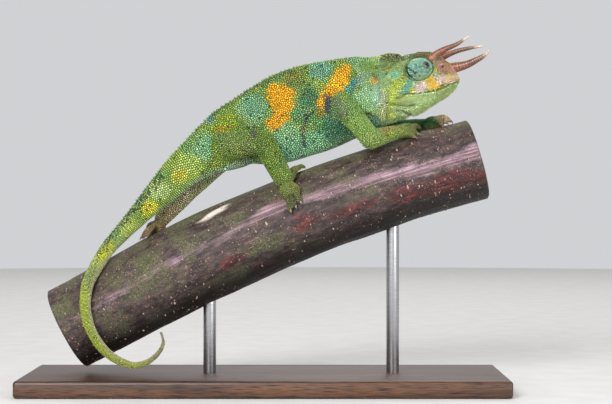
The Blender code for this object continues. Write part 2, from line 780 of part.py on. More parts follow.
def stand(branch):
    """A flat base with softened edges and two round rods up to the branch."""
    half, top = (BASE_LENGTH / 2, BASE_WIDTH / 2), FLOOR + BASE_THICK
    corners = [(sx * half[0], sy * half[1]) for sx, sy in ((-1, -1), (1, -1), (1, 1), (-1, 1))]
    base = loft("stand_base", "base", [[(x, y, z) for x, y in corners] for z in (FLOOR, top)])
    edge = base.modifiers.new("softened_edges", "BEVEL")
    edge.width, edge.segments, edge.limit_method = BASE_EDGE * MM, 2, "ANGLE"
    evaluated(base)
    for tag, x in ROD_X.items():
        heights = (top + GAP, perch_frame(x)[0].z)
        rings = [
            around(Vector((x, 0, z)), Vector((1, 0, 0)), Vector((0, 1, 0)), ROD_RADIUS, ROD_SIDES)
            for z in heights
        ]
        clear_of(loft(f"stand_rod_{tag}", "rod", rings), branch)


def build():
    for old in list(bpy.data.objects):
        bpy.data.objects.remove(old)
    branch = perch()
    stand(branch)
    lengths = {name: body_length(name, *rest) for name, *rest in LENGTHS}
    head, jaw = head_and_jaw()
    sides = len(head_ring(0.0))
    collar = neck(section(0.0, sides))
    torso = lengths["torso"]
    flesh = [torso, collar, head, jaw, lengths["tail_base"]]
    for side in ("right", "left"):
        upper = clear_of(limb(f"upper_arm_{side}"), torso, collar, head, jaw)
        lower = clear_of(limb(f"forearm_{side}"), upper, *flesh, branch)
        foot(f"fore_foot_{side}", lower, branch)
        thigh = clear_of(limb(f"thigh_{side}"), *flesh, branch)
        shin = clear_of(limb(f"shin_{side}"), thigh, *flesh, branch)
        foot(f"hind_foot_{side}", shin, branch)
    for piece in bpy.data.objects:
        settle(piece)


build()
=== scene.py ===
"""Looks of a life-size three-horned chameleon that grips a cut branch on a display stand.

The sizes are in millimetres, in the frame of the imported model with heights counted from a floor
6.6 mm lower, and each mesh is brought to metres as it is made. +X runs towards the head and the
animal's right side faces -Y. Places on its near side are given as columns and rows of the photograph.
"""

import math

import bpy
import numpy as np
from mathutils import Matrix, Vector
from mathutils.kdtree import KDTree


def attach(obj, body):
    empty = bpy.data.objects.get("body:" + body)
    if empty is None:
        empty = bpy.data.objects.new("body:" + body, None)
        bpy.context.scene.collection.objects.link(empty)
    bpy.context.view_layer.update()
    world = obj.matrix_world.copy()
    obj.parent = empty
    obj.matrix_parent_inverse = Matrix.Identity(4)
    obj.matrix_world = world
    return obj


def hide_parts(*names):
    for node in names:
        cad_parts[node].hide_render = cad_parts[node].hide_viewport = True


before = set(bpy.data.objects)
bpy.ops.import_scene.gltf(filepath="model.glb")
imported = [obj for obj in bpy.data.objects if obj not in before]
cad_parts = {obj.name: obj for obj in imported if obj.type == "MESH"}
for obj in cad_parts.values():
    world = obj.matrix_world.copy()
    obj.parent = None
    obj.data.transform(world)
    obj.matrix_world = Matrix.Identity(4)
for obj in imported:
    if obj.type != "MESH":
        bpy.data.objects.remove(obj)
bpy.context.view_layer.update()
bpy.ops.object.select_all(action="DESELECT")


# The stand's base
# A flat board of dark stained oak with its edges eased by a small round, planed, stained and oiled.
# It carries the two rods and is the only piece that touches the floor.

MM = 0.001
LOWERED = 6.6
BASE_SIZE = (224.0, 80.0, 8.0)
BASE_ROUND = 1.6


def linear(colour):
    """An sRGB hex colour as the linear colour that a socket takes."""
    parts = [int(colour[i:i + 2], 16) / 255 for i in (1, 3, 5)]
    return (*(c / 12.92 if c <= 0.04045 else ((c + 0.055) / 1.055) ** 2.4 for c in parts), 1.0)


def finish(name, **sockets):
    """A new material, with constant values set on its shader's own sockets."""
    made = bpy.data.materials.new(name)
    made.use_nodes = True
    shader = made.node_tree.nodes["Principled BSDF"]
    for socket, value in sockets.items():
        shader.inputs[socket.replace("_", " ")].default_value = value
    return made, made.node_tree, shader


def put(tree, kind, inputs=None, stops=None, **settings):
    """Adds a node with its settings, its inputs as values or as other sockets, and a ramp's stops."""
    made = tree.nodes.new("ShaderNode" + kind)
    for name, value in settings.items():
        setattr(made, name, value)
    for name, value in (inputs or {}).items():
        if isinstance(value, bpy.types.NodeSocket):
            tree.links.new(value, made.inputs[name])
        else:
            made.inputs[name].default_value = value
    if stops:
        ramp = made.color_ramp
        while len(ramp.elements) < len(stops):
            ramp.elements.new(1.0)
        for element, (position, colour) in zip(ramp.elements, stops):
            element.position, element.color = position, linear(colour)
    return made


def keep(piece, slot, *nodes):
    """A finished piece: it rides on the model and stands for nodes, which it hides; slot is not used."""
    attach(piece, "root")
    if nodes:
        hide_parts(*nodes)
    return piece


def settle_here(name, material):
    """Names the piece that an operator has just made, and writes its place into its mesh."""
    piece = bpy.context.active_object
    piece.name = piece.data.name = name
    bpy.ops.object.transform_apply(location=True, rotation=True, scale=True)
    piece.data.materials.append(material)
    return piece


def apply_all(piece):
    """Applies a piece's modifiers in order."""
    bpy.ops.object.select_all(action="DESELECT")
    piece.select_set(True)
    bpy.context.view_layer.objects.active = piece
    for modifier in list(piece.modifiers):
        bpy.ops.object.modifier_apply(modifier=modifier.name)
    piece.select_set(False)
    return piece


# Stained and oiled oak: straight grain along the board with darker pores, a satin oil finish
oak, tree, shader = finish("stained_oak", Roughness=0.42, IOR=1.5, Specular_IOR_Level=0.45)
place = put(tree, "TexCoord").outputs["Object"]
along = put(tree, "Mapping", {"Vector": place, "Scale": (9.0, 160.0, 160.0)}).outputs[0]
figure = put(tree, "TexNoise", {"Vector": along, "Scale": 1.0, "Detail": 6.0, "Distortion": 0.6})
pores = put(tree, "Mapping", {"Vector": place, "Scale": (120.0, 2600.0, 2600.0)}).outputs[0]
pore = put(tree, "TexNoise", {"Vector": pores, "Scale": 1.0, "Detail": 3.0})
wood = put(tree, "ValToRGB", {"Fac": figure.outputs[0]},
           stops=((0.3, "#2b1a11"), (0.5, "#4a2f1e"), (0.7, "#63432c")))
dark = put(tree, "ValToRGB", {"Fac": pore.outputs[0]}, stops=((0.36, "#6a5a50"), (0.52, "#ffffff")))
mixed = put(tree, "Mix", {0: 1.0, 6: wood.outputs[0], 7: dark.outputs[0]}, data_type="RGBA",
            blend_type="MULTIPLY")
tree.links.new(mixed.outputs[2], shader.inputs["Base Color"])
relief = put(tree, "Bump", {"Height": pore.outputs[0], "Strength": 0.25, "Distance": 0.0002})
tree.links.new(relief.outputs[0], shader.inputs["Normal"])

bpy.ops.mesh.primitive_cube_add(size=1.0, location=(0.0, 0.0, BASE_SIZE[2] / 2 * MM))
board = bpy.context.active_object
board.scale = [side * MM for side in BASE_SIZE]
settle_here("base_board", oak)
eased = board.modifiers.new("eased_edges", "BEVEL")
eased.width, eased.segments, eased.limit_method = BASE_ROUND * MM, 5, "ANGLE"
apply_all(board)
board.data.shade_smooth()
bpy.ops.object.select_all(action="DESELECT")
board.select_set(True)
bpy.context.view_layer.objects.active = board
bpy.ops.object.shade_smooth_by_angle(angle=math.radians(30))
board.select_set(False)
keep(board, "base", "stand_base")


# The branch
# A short cut length of a living branch, about 39 mm thick: smooth purple-brown bark with fine
# lengthwise grain, green algae on its upper side, pale raised pores, and flat sawn ends.

PERCH = (
    (-93.0, 35.1, 20.0),
    (-63.0, 50.8, 20.3),
    (-30.5, 67.5, 20.5),
    (16.5, 87.9, 20.1),
    (63.5, 104.5, 19.5),
    (100.0, 115.0, 19.3),
)
BARK_STEP = 0.75              # distance between neighbouring points of the bark
BARK_EDGE = 0.9               # how far the sawn ends' edges are worn round
PIXEL = 0.47                  # width of one pixel of the photograph on the plane y = 0
PHOTO_MIDDLE = (306.0, 202.0)
LOOK_AT = (19.27, 94.72)
CAMERA_AWAY = 800.0
# Places on the photograph: middle, reach and tilt of the bark's marks, and the line of the painted sheen
SCARS = ((380, 181), (9, 5), -15)
SCRAPE = ((213, 214), (17, 2.9), -31)
RUBBED = (
    ((456, 181), (52, 9), -12), ((410, 194), (24, 7), -15), ((352, 209), (25, 7.5), -18),
    ((306, 221), (15, 11), -20), ((235, 262), (16, 8), -24),
)
SHEEN_LINE = (
    (60, 325), (107, 301), (150, 273), (192, 251), (228, 235), (263, 214), (304, 197),
    (357, 183), (421, 169.5),
    (480, 151), (520, 140),
)


def spline(points, t):
    """A smooth curve through the points, at t in stations."""
    points = np.asarray(points, float)
    last = len(points) - 1
    i = int(min(max(math.floor(t), 0), last - 1))
    s = t - i
    p1, p2 = points[i], points[i + 1]
    p0 = points[i - 1] if i > 0 else 2 * p1 - p2
    p3 = points[i + 2] if i + 2 <= last else 2 * p2 - p1
    bend, twist = 2 * p0 - 5 * p1 + 4 * p2 - p3, 3 * p1 - p0 - 3 * p2 + p3
    return 0.5 * (2 * p1 + (p2 - p0) * s + bend * s**2 + twist * s**3)


def slope(points, t):
    """The unit direction of that curve at t."""
    last = len(points) - 1
    d = spline(points, min(t + 0.01, last)) - spline(points, max(t - 0.01, 0))
    return d / np.linalg.norm(d)


def photo_place(points):
    """Columns and rows of the photograph at which points, one a row, are seen."""
    points = np.asarray(points, float)
    wide = PIXEL * (1 + points[:, 1] / CAMERA_AWAY)
    column = PHOTO_MIDDLE[0] + (points[:, 0] - LOOK_AT[0]) / wide
    row = PHOTO_MIDDLE[1] - (points[:, 2] - LOOK_AT[1]) / wide
    return np.stack([column, row], axis=1)


def cloud(points, size, seed=0):
    """Smooth random values from -1 to 1 at points, which change over about size."""
    points = np.asarray(points, float) / size + 31.7 * seed
    cell = np.floor(points).astype(np.int64)
    f = points - cell
    f = f * f * (3 - 2 * f)
    total = np.zeros(len(points))
    for corner in np.ndindex(2, 2, 2):
        i, j, k = (cell + corner).T
        n = (i * 73856093) ^ (j * 19349663) ^ (k * 83492791) ^ (seed * 2654435761)
        n = (n ^ (n >> 13)) * 1274126177
        n = (n ^ (n >> 16)) & 0xFFFF
        share = np.prod(np.where(corner, f, 1 - f), axis=1)
        total += share * (n / 32767.5 - 1)
    return total


def smoothstep(low, high, x):
    x = np.clip((np.asarray(x, float) - low) / (high - low), 0, 1)
    return x * x * (3 - 2 * x)


def line_distance(places, line):
    """How far places lie from a line through the given points, all in the plane."""
    best = np.full(len(places), 1e9)
    line = np.asarray(line, float)
    for a, b in zip(line[:-1], line[1:]):
        d = b - a
        share = np.clip(((places - a) @ d) / max(d @ d, 1e-9), 0, 1)
        best = np.minimum(best, np.hypot(*(places - a - share[:, None] * d).T))
    return best


def in_patch(places, outline, soft):
    """1 inside an outline in the plane, 0 outside, with an edge of the given softness."""
    outline = np.asarray(outline, float)
    inside = np.zeros(len(places), bool)
    x, y = places.T
    for (x0, y0), (x1, y1) in zip(outline, np.roll(outline, -1, axis=0)):
        crosses = (y0 > y) != (y1 > y)
        with np.errstate(divide="ignore", invalid="ignore"):
            inside ^= crosses & (x < x0 + (y - y0) * (x1 - x0) / (y1 - y0))
    away = line_distance(places, np.vstack([outline, outline[:1]]))
    return smoothstep(-soft, soft, np.where(inside, away, -away))


def in_spot(places, middle, reach, tilt=0.0, soft=0.35):
    """1 inside an ellipse in the plane, 0 outside, softened over a share of its size."""
    a = math.radians(tilt)
    d = places - np.asarray(middle, float)
    across = d[:, 0] * math.cos(a) + d[:, 1] * math.sin(a)
    down = -d[:, 0] * math.sin(a) + d[:, 1] * math.cos(a)
    return 1 - smoothstep(1 - soft, 1 + soft, np.hypot(across / reach[0], down / reach[1]))


def mesh_piece(name, vertices, faces, material):
    """A smooth-shaded piece from points in millimetres and faces of any count of corners."""
    mesh = bpy.data.meshes.new(name)
    places = (np.asarray(vertices, float) - (0.0, 0.0, LOWERED)) * MM
    counts = np.array([len(face) for face in faces])
    corners = np.concatenate([np.asarray(face) for face in faces])
    return fill_mesh(mesh, name, places, corners, counts, material)


def fill_mesh(mesh, name, places, corners, counts, material):
    """Writes arrays of places, corners and corner counts into a mesh and shows it."""
    mesh.vertices.add(len(places))
    mesh.vertices.foreach_set("co", places.astype(np.float32).ravel())
    mesh.loops.add(len(corners))
    mesh.loops.foreach_set("vertex_index", corners.astype(np.int32))
    mesh.polygons.add(len(counts))
    mesh.polygons.foreach_set("loop_start", np.concatenate([[0], np.cumsum(counts)[:-1]]).astype(np.int32))
    mesh.update(calc_edges=True)
    mesh.validate()
    mesh.shade_smooth()
    mesh.materials.append(material)
    piece = bpy.data.objects.new(name, mesh)
    bpy.context.scene.collection.objects.link(piece)
    return piece


def give(piece, name, values):
    """Stores one value or colour a point on a piece."""
    values = np.asarray(values, np.float32)
    if values.ndim == 1:
        piece.data.attributes.new(name, "FLOAT", "POINT").data.foreach_set("value", values)
    elif name == "grain":
        piece.data.attributes.new(name, "FLOAT_VECTOR", "POINT").data.foreach_set("vector", values.ravel())
    else:
        colours = np.concatenate([values, np.ones((len(values), 1), np.float32)], axis=1)
        stored = piece.data.color_attributes.new(name, "FLOAT_COLOR", "POINT")
        stored.data.foreach_set("color", colours.ravel())


def skin_rings(rings, start=None, end=None):
    """Points and faces over rings of equal count, with each end flat or drawn to a point."""
    rings = np.asarray(rings, float)
    steps, count = rings.shape[:2]
    vertices = list(rings.reshape(-1, 3))
    first = np.arange(steps - 1)[:, None] * count + np.arange(count)
    after = np.arange(steps - 1)[:, None] * count + (np.arange(count) + 1) % count
    faces = np.stack([first, after, after + count, first + count], axis=-1).reshape(-1, 4).tolist()
    for ring_start, centre, flip in ((0, start, True), ((steps - 1) * count, end, False)):
        ring = list(range(ring_start, ring_start + count))
        ring = ring[::-1] if flip else ring
        if centre is None:
            faces.append(ring)
        else:
            vertices.append(np.asarray(centre, float))
            tip = len(vertices) - 1
            faces.extend([ring[k], ring[(k + 1) % count], tip] for k in range(count))
    return np.array(vertices), faces


def perch_station(t):
    """The branch's axis point at t, its upward normal in the plane y = 0, and its radius."""
    x, z, radius = spline(PERCH, t).tolist()
    run, rise = slope([p[:2] for p in PERCH], t).tolist()
    return np.array((x, 0.0, z)), np.array((-rise, 0.0, run)), radius


def perch_at(x):
    """The branch's axis at x, as in perch_station."""
    low, high = 0.0, len(PERCH) - 1.0
    for _ in range(40):
        middle = (low + high) / 2
        low, high = (middle, high) if spline(PERCH, middle)[0] < x else (low, middle)
    return perch_station(low)


def on_perch(x, angle, height):
    """A point over the branch at x: angle in degrees from its top towards the near side."""
    a = math.radians(angle)
    foot = x
    for _ in range(6):
        centre, up, radius = perch_at(foot)
        point = centre + (up * math.cos(a) + np.array((0.0, -1.0, 0.0)) * math.sin(a)) * (radius + height)
        foot += x - point[0]
    return point


PERCH_LENGTH = float(sum(
    math.dist(spline(PERCH, i / 20)[:2], spline(PERCH, (i + 1) / 20)[:2])
    for i in range(20 * (len(PERCH) - 1))
))
ring_count = round(PERCH_LENGTH / BARK_STEP)
side_count = round(2 * math.pi * 20.0 / BARK_STEP)
rings, grains, outward = [], [], []
for r in range(ring_count + 1):
    centre, up, radius = perch_station((len(PERCH) - 1) * r / ring_count)
    near_end = min(r, ring_count - r) * PERCH_LENGTH / ring_count
    radius -= BARK_EDGE * (1 - math.sqrt(1 - max(1 - near_end / BARK_EDGE, 0) ** 2))
    a = 2 * math.pi * np.arange(side_count) / side_count
    out = np.cos(a)[:, None] * up + np.sin(a)[:, None] * np.array((0.0, -1.0, 0.0))
    rings.append(centre + out * radius)
    outward.append(out)
    along_mm = r * PERCH_LENGTH / ring_count
    grains.append(np.stack([np.full(side_count, along_mm), radius * np.cos(a), radius * np.sin(a)], axis=1))
rings, outward, grains = np.array(rings), np.array(outward), np.array(grains)
flat = grains.reshape(-1, 3)
lengthwise = flat * (0.07, 1.0, 1.0)
low_lumps = 0.30 * cloud(flat, 17.0, 3) + 0.16 * cloud(flat, 6.0, 4)
ribs = 0.13 * cloud(lengthwise, 1.7, 5) + 0.07 * cloud(lengthwise, 0.9, 6)
seen = photo_place(rings.reshape(-1, 3))
scars = in_spot(seen, *SCARS, 0.6) * (rings.reshape(-1, 3)[:, 1] < 0)
relief = low_lumps + ribs + scars * 0.35 * cloud(flat, 1.2, 8)
rings += outward * (relief.reshape(ring_count + 1, side_count)[..., None] - 0.15)
inner = []
for r, steps in ((0, (0.93, 0.9, 0.6, 0.3)), (ring_count, (0.93, 0.9, 0.6, 0.3))):
    centre = perch_station((len(PERCH) - 1) * r / ring_count)[0]
    inner.append([centre + (rings[r] - centre) * step for step in steps])
all_rings = np.array([*inner[0][::-1], *rings, *inner[1]])
all_grains = np.array([
    *[grains[0] * (1, step, step) for step in (0.3, 0.6, 0.9, 0.93)],
    *grains,
    *[grains[-1] * (1, step, step) for step in (0.93, 0.9, 0.6, 0.3)],
])
ends = [perch_station(t)[0] for t in (0.0, len(PERCH) - 1.0)]
vertices, faces = skin_rings(all_rings, ends[0], ends[1])
grain = np.vstack([all_grains.reshape(-1, 3), (0.0, 0.0, 0.0), (PERCH_LENGTH, 0.0, 0.0)])
sawn = np.ones(len(vertices))
sawn[4 * side_count:(4 + ring_count + 1) * side_count] = 0.0

# Living bark: thin, close and slightly glossy, purple-brown with a pale band of painted sheen along
# its length, red-brown where it is rubbed, and green-grey algae where rain wets it
bark, tree, shader = finish("living_bark", Roughness=0.55, IOR=1.45, Specular_IOR_Level=0.5)
lie = put(tree, "Attribute", attribute_name="grain").outputs["Vector"]
streak_lie = put(tree, "Mapping", {"Vector": lie, "Scale": (0.04, 1.25, 1.25)}).outputs[0]
streaks = put(tree, "TexNoise", {"Vector": streak_lie, "Scale": 1.0, "Detail": 5.0, "Roughness": 0.65})
short_lie = put(tree, "Mapping", {"Vector": lie, "Scale": (0.45, 1.0, 1.0)}).outputs[0]
mottle = put(tree, "TexNoise", {"Vector": short_lie, "Scale": 0.42, "Detail": 8.0, "Roughness": 0.72})
fine = put(tree, "TexNoise", {"Vector": lie, "Scale": 1.5, "Detail": 6.0, "Roughness": 0.75})
patches = put(tree, "TexNoise", {"Vector": lie, "Scale": 0.13, "Detail": 5.0, "Roughness": 0.6})
blotch = put(tree, "Math", {0: mottle.outputs[0], 1: 1.5, 2: -0.75}, operation="MULTIPLY_ADD").outputs[0]
crumble = put(tree, "Math", {0: fine.outputs[0], 1: 1.1, 2: -0.55}, operation="MULTIPLY_ADD").outputs[0]
uneven = put(tree, "Math", {0: blotch, 1: crumble}, operation="ADD").outputs[0]


def cover_where(mask_name, gain, level):
    """How far a growth or wear covers the bark: where its mask is high, with a crumbled edge."""
    mask = put(tree, "Attribute", attribute_name=mask_name).outputs["Fac"]
    raised = put(tree, "Math", {0: mask, 1: gain, 2: level}, operation="MULTIPLY_ADD").outputs[0]
    return put(tree, "Math", {0: raised, 1: uneven}, operation="ADD", use_clamp=True).outputs[0]


ground = put(tree, "ValToRGB", {"Fac": mottle.outputs[0]},
             stops=((0.30, "#120c0b"), (0.42, "#241917"), (0.52, "#3b2c29"), (0.62, "#523e3a"),
                    (0.76, "#7d6861")))
red = put(tree, "ValToRGB", {"Fac": mottle.outputs[0]},
          stops=((0.34, "#150708"), (0.47, "#371214"), (0.58, "#541e1c"), (0.72, "#7a4038")))
# The pale pink of the painted sheen, a highlight painted into the bark's colour
pale = put(tree, "ValToRGB", {"Fac": streaks.outputs[0]},
           stops=((0.30, "#4a363c"), (0.44, "#735862"), (0.56, "#a28390"), (0.70, "#d0b2ba")))
algae = put(tree, "ValToRGB", {"Fac": fine.outputs[0]},
            stops=((0.32, "#1a1c12"), (0.45, "#393c26"), (0.57, "#5c5c3d"), (0.72, "#8d8866")))
specks = put(tree, "TexVoronoi", {"Vector": lie, "Scale": 0.95, "Randomness": 1.0})
speck = put(tree, "ValToRGB", {"Fac": specks.outputs["Distance"]},
            stops=((0.16, "#ffffff"), (0.30, "#000000")))
few = put(tree, "ValToRGB", {"Fac": patches.outputs[0]}, stops=((0.42, "#101010"), (0.6, "#a8a8a8")))
specked = put(tree, "Mix", {0: 1.0, 6: speck.outputs[0], 7: few.outputs[0]}, data_type="RGBA",
              blend_type="MULTIPLY").outputs[2]
green = cover_where("algae", 2.2, -0.62)
step = ground.outputs[0]
for cover, paint in (
    (cover_where("rubbed", 1.9, -0.6), red.outputs[0]), (cover_where("painted_sheen", 1.5, -0.6), pale.outputs[0]),
    (green, algae.outputs[0]), (specked, linear("#b49a8c")),
):
    step = put(tree, "Mix", {0: cover, 6: step, 7: paint}, data_type="RGBA").outputs[2]
# Painted shade: the bark is darkened towards the underside of the branch
shaded = put(tree, "Attribute", attribute_name="underside").outputs["Fac"]
underside_shade = put(tree, "ValToRGB", {"Fac": shaded}, stops=((0.0, "#ffffff"), (1.0, "#5d5552")))
step = put(tree, "Mix", {0: 1.0, 6: step, 7: underside_shade.outputs[0]}, data_type="RGBA",
           blend_type="MULTIPLY").outputs[2]
where_bare = put(tree, "Attribute", attribute_name="scraped").outputs["Fac"]
step = put(tree, "Mix", {0: where_bare, 6: step, 7: linear("#cfc3b8")}, data_type="RGBA").outputs[2]
# The sawn ends: pale wood with one growth ring about every 2 mm, darker towards the bark
apart = put(tree, "SeparateXYZ", {0: lie})
radial = put(tree, "Math", {0: apart.outputs[1], 1: apart.outputs[1]}, operation="MULTIPLY").outputs[0]
radial = put(tree, "Math", {0: apart.outputs[2], 1: apart.outputs[2], 2: radial},
             operation="MULTIPLY_ADD").outputs[0]
radial = put(tree, "Math", {0: radial, 1: 0.5}, operation="POWER").outputs[0]
wavy = put(tree, "Math", {0: patches.outputs[0], 1: 6.5, 2: radial}, operation="MULTIPLY_ADD").outputs[0]
closer = put(tree, "Math", {0: wavy, 1: 1.32}, operation="POWER").outputs[0]
closer = put(tree, "Math", {0: closer, 1: 2.1}, operation="MULTIPLY").outputs[0]
rings_wave = put(tree, "Math", {0: closer}, operation="SINE").outputs[0]
rings_wave = put(tree, "MapRange", {0: rings_wave, 1: -1.0, 2: 1.0, 3: 0.0, 4: 1.0}).outputs[0]
end_wood = put(tree, "ValToRGB", {"Fac": rings_wave}, stops=((0.1, "#b3936b"), (0.75, "#c9ad86")))
saw_lie = put(tree, "Mapping", {"Vector": lie, "Scale": (1.0, 0.15, 3.0)}).outputs[0]
saw_marks = put(tree, "TexNoise", {"Vector": saw_lie, "Scale": 1.0, "Detail": 4.0})
scored = put(tree, "ValToRGB", {"Fac": saw_marks.outputs[0]}, stops=((0.3, "#b9a48c"), (0.6, "#ffffff")))
heart = put(tree, "ValToRGB", {"Fac": put(tree, "MapRange", {0: wavy, 1: 0.0, 2: 12.0}).outputs[0]},
            stops=((0.1, "#8a6a48"), (0.2, "#c9a883"), (0.8, "#ffffff")))
rim_wood = put(tree, "ValToRGB", {"Fac": put(tree, "MapRange", {0: radial, 1: 15.0, 2: 19.0}).outputs[0]},
               stops=((0.0, "#ffffff"), (0.8, "#8f6f55"), (1.0, "#3a2924")))
end_wood = end_wood.outputs[0]
for share, tint in ((0.7, scored), (1.0, heart), (1.0, rim_wood)):
    end_wood = put(tree, "Mix", {0: share, 6: end_wood, 7: tint.outputs[0]}, data_type="RGBA",
                   blend_type="MULTIPLY").outputs[2]
where_sawn = put(tree, "Attribute", attribute_name="sawn").outputs["Fac"]
step = put(tree, "Mix", {0: where_sawn, 6: step, 7: end_wood}, data_type="RGBA").outputs[2]
tree.links.new(step, shader.inputs["Base Color"])
rough = put(tree, "MapRange", {0: green, 3: 0.5, 4: 0.85}).outputs[0]
tree.links.new(rough, shader.inputs["Roughness"])
height = put(tree, "Math", {0: fine.outputs[0], 1: 0.8, 2: mottle.outputs[0]},
             operation="MULTIPLY_ADD").outputs[0]
height = put(tree, "Math", {0: streaks.outputs[0], 1: 0.5, 2: height}, operation="MULTIPLY_ADD").outputs[0]
bump = put(tree, "Bump", {"Height": height, "Strength": 0.85, "Distance": 0.0005})
tree.links.new(bump.outputs[0], shader.inputs["Normal"])

branch = keep(mesh_piece("branch", vertices, faces, bark), "bark", "perch")
give(branch, "grain", grain)
give(branch, "sawn", sawn)
seen = photo_place(vertices)
wobble = np.stack([cloud(grain, 7.0, 11), cloud(grain, 7.0, 12)], axis=1) * 4.0
near = vertices[:, 1] < 2.0
angle = np.degrees(np.arctan2(grain[:, 2], grain[:, 1]))
left_part = 1 - smoothstep(60.0, 150.0, grain[:, 0])
top_green = np.exp(-((angle + 8.0) / 50.0) ** 2) * (0.62 + 0.5 * cloud(grain, 9.0, 13))
loose_green = 0.30 + 0.36 * cloud(grain, 8.0, 14) + 0.14 * cloud(grain, 3.0, 19) + 0.08 * left_part
right_foot = smoothstep(150.0, 175.0, grain[:, 0])
give(branch, "algae", np.clip(np.maximum(top_green, loose_green - 0.22 * right_foot), 0, 1))
give(branch, "underside", smoothstep(95.0, 150.0, np.abs(angle)))
rubbed = sum(in_spot(seen + wobble, *place, 0.5) for place in RUBBED) * near
rubbed = np.maximum(rubbed, ~near * smoothstep(0.1, 0.6, cloud(grain * (0.3, 1, 1), 8.0, 15)))
give(branch, "rubbed", np.clip(rubbed, 0, 0.9))
# Painted sheen: a pale band along a line on the near side and at a fixed angle round the far side, standing
# in for a highlight
along_branch = smoothstep(60.0, 130.0, grain[:, 0])
strip = line_distance(seen + 0.6 * wobble, SHEEN_LINE) / (6.0 + 4.5 * smoothstep(110.0, 190.0, grain[:, 0]))
pale_band = np.where(near, np.exp(-strip ** 2),
                     np.exp(-((angle + 60.0 - 9.0 * cloud(grain, 30.0, 16)) / 15.0) ** 2))
pale_band = pale_band * (0.46 + 0.3 * smoothstep(-0.3, 0.5, cloud(grain * (0.4, 1, 1), 9.0, 17))
                         + 0.34 * along_branch)
give(branch, "painted_sheen", np.clip(pale_band, 0, 1))
torn = np.outer(1.9 * cloud(grain * (0.22, 1, 1), 1.3, 18), (0.5, 0.87))
scraped = in_spot(seen + wobble * 0.25 + torn, *SCRAPE, 0.35) * near
give(branch, "scraped", np.clip(scraped, 0, 1))

# Pores and small flakes of loose bark, raised a fifth of a millimetre, hundreds over the whole
# branch and close together in the two places where the bark has scabbed
FLAKES, FLAKE_SIDES = 1500, 8
flake_rng = np.random.default_rng(3)
lengthwise_at = flake_rng.uniform(1.5, PERCH_LENGTH - 1.5, FLAKES)
round_at = flake_rng.uniform(-180.0, 180.0, FLAKES)
lengthwise_at[:70] = flake_rng.normal(PERCH_LENGTH - 17.0, 4.0, 70).clip(2.0, PERCH_LENGTH - 2.0)
round_at[:70] = flake_rng.normal(26.0, 9.0, 70)
lengthwise_at[70:110] = flake_rng.normal(122.0, 3.0, 40)
round_at[70:110] = flake_rng.normal(58.0, 8.0, 40)
flake_places, flake_corners, flake_tones = [], [], []
for n, (along_mm, turn) in enumerate(zip(lengthwise_at, np.radians(round_at))):
    r = along_mm / PERCH_LENGTH * ring_count
    k = (turn / (2 * math.pi) * side_count) % side_count
    foot = rings[int(r), int(k)]
    out = outward[int(r), int(k)]
    ahead = rings[min(int(r) + 1, ring_count), int(k)] - rings[int(r), int(k)]
    ahead /= np.linalg.norm(ahead)
    side = np.cross(out, ahead)
    size = flake_rng.uniform(0.18, 0.42) * (1.5 if n % 7 == 0 else 1.0)
    wide, rise = size * flake_rng.uniform(1.0, 2.4), size * flake_rng.uniform(0.3, 0.6)
    a = 2 * math.pi * np.arange(FLAKE_SIDES)[:, None] / FLAKE_SIDES
    ragged = flake_rng.uniform(0.75, 1.2, (FLAKE_SIDES, 1))
    rim_line = foot + ragged * (ahead * size * np.cos(a) + side * wide * np.sin(a)) - out * 0.25
    crown = foot + 0.62 * ragged * (ahead * size * np.cos(a) + side * wide * np.sin(a)) + out * rise * 0.8
    flake, corner_lists = skin_rings(np.array([rim_line, crown]), None, foot + out * rise)
    flake_corners += [[c + len(flake) * n for c in face] for face in corner_lists]
    flake_places.append(flake)
    tone = flake_rng.choice(4)
    flake_tones.append(np.tile(linear(("#a98478", "#b99d90", "#80695a", "#946854")[tone])[:3],
                               (len(flake), 1)))
dry_flake, tree, shader = finish("dry_bark_flakes", Roughness=0.8, IOR=1.45, Specular_IOR_Level=0.3)
flake_tone = put(tree, "Attribute", attribute_name="tone").outputs["Color"]
dusty = put(tree, "TexNoise", {"Vector": put(tree, "TexCoord").outputs["Object"],
                              "Scale": 2500.0, "Detail": 3.0})
dust = put(tree, "ValToRGB", {"Fac": dusty.outputs[0]}, stops=((0.3, "#8f8f8f"), (0.65, "#ffffff")))
mixed = put(tree, "Mix", {0: 1.0, 6: flake_tone, 7: dust.outputs[0]}, data_type="RGBA",
            blend_type="MULTIPLY").outputs[2]
tree.links.new(mixed, shader.inputs["Base Color"])
flakes = keep(mesh_piece("bark_flakes", np.vstack(flake_places), flake_corners, dry_flake), "bark")
give(flakes, "tone", np.vstack(flake_tones))


# The animal's body
# One soft skin over the whole animal, from the snout to the tail's tip and down to the toes, with
# the folds that it has at the mouth, throat, shoulder, elbow, belly and knee. The scales lie on it.

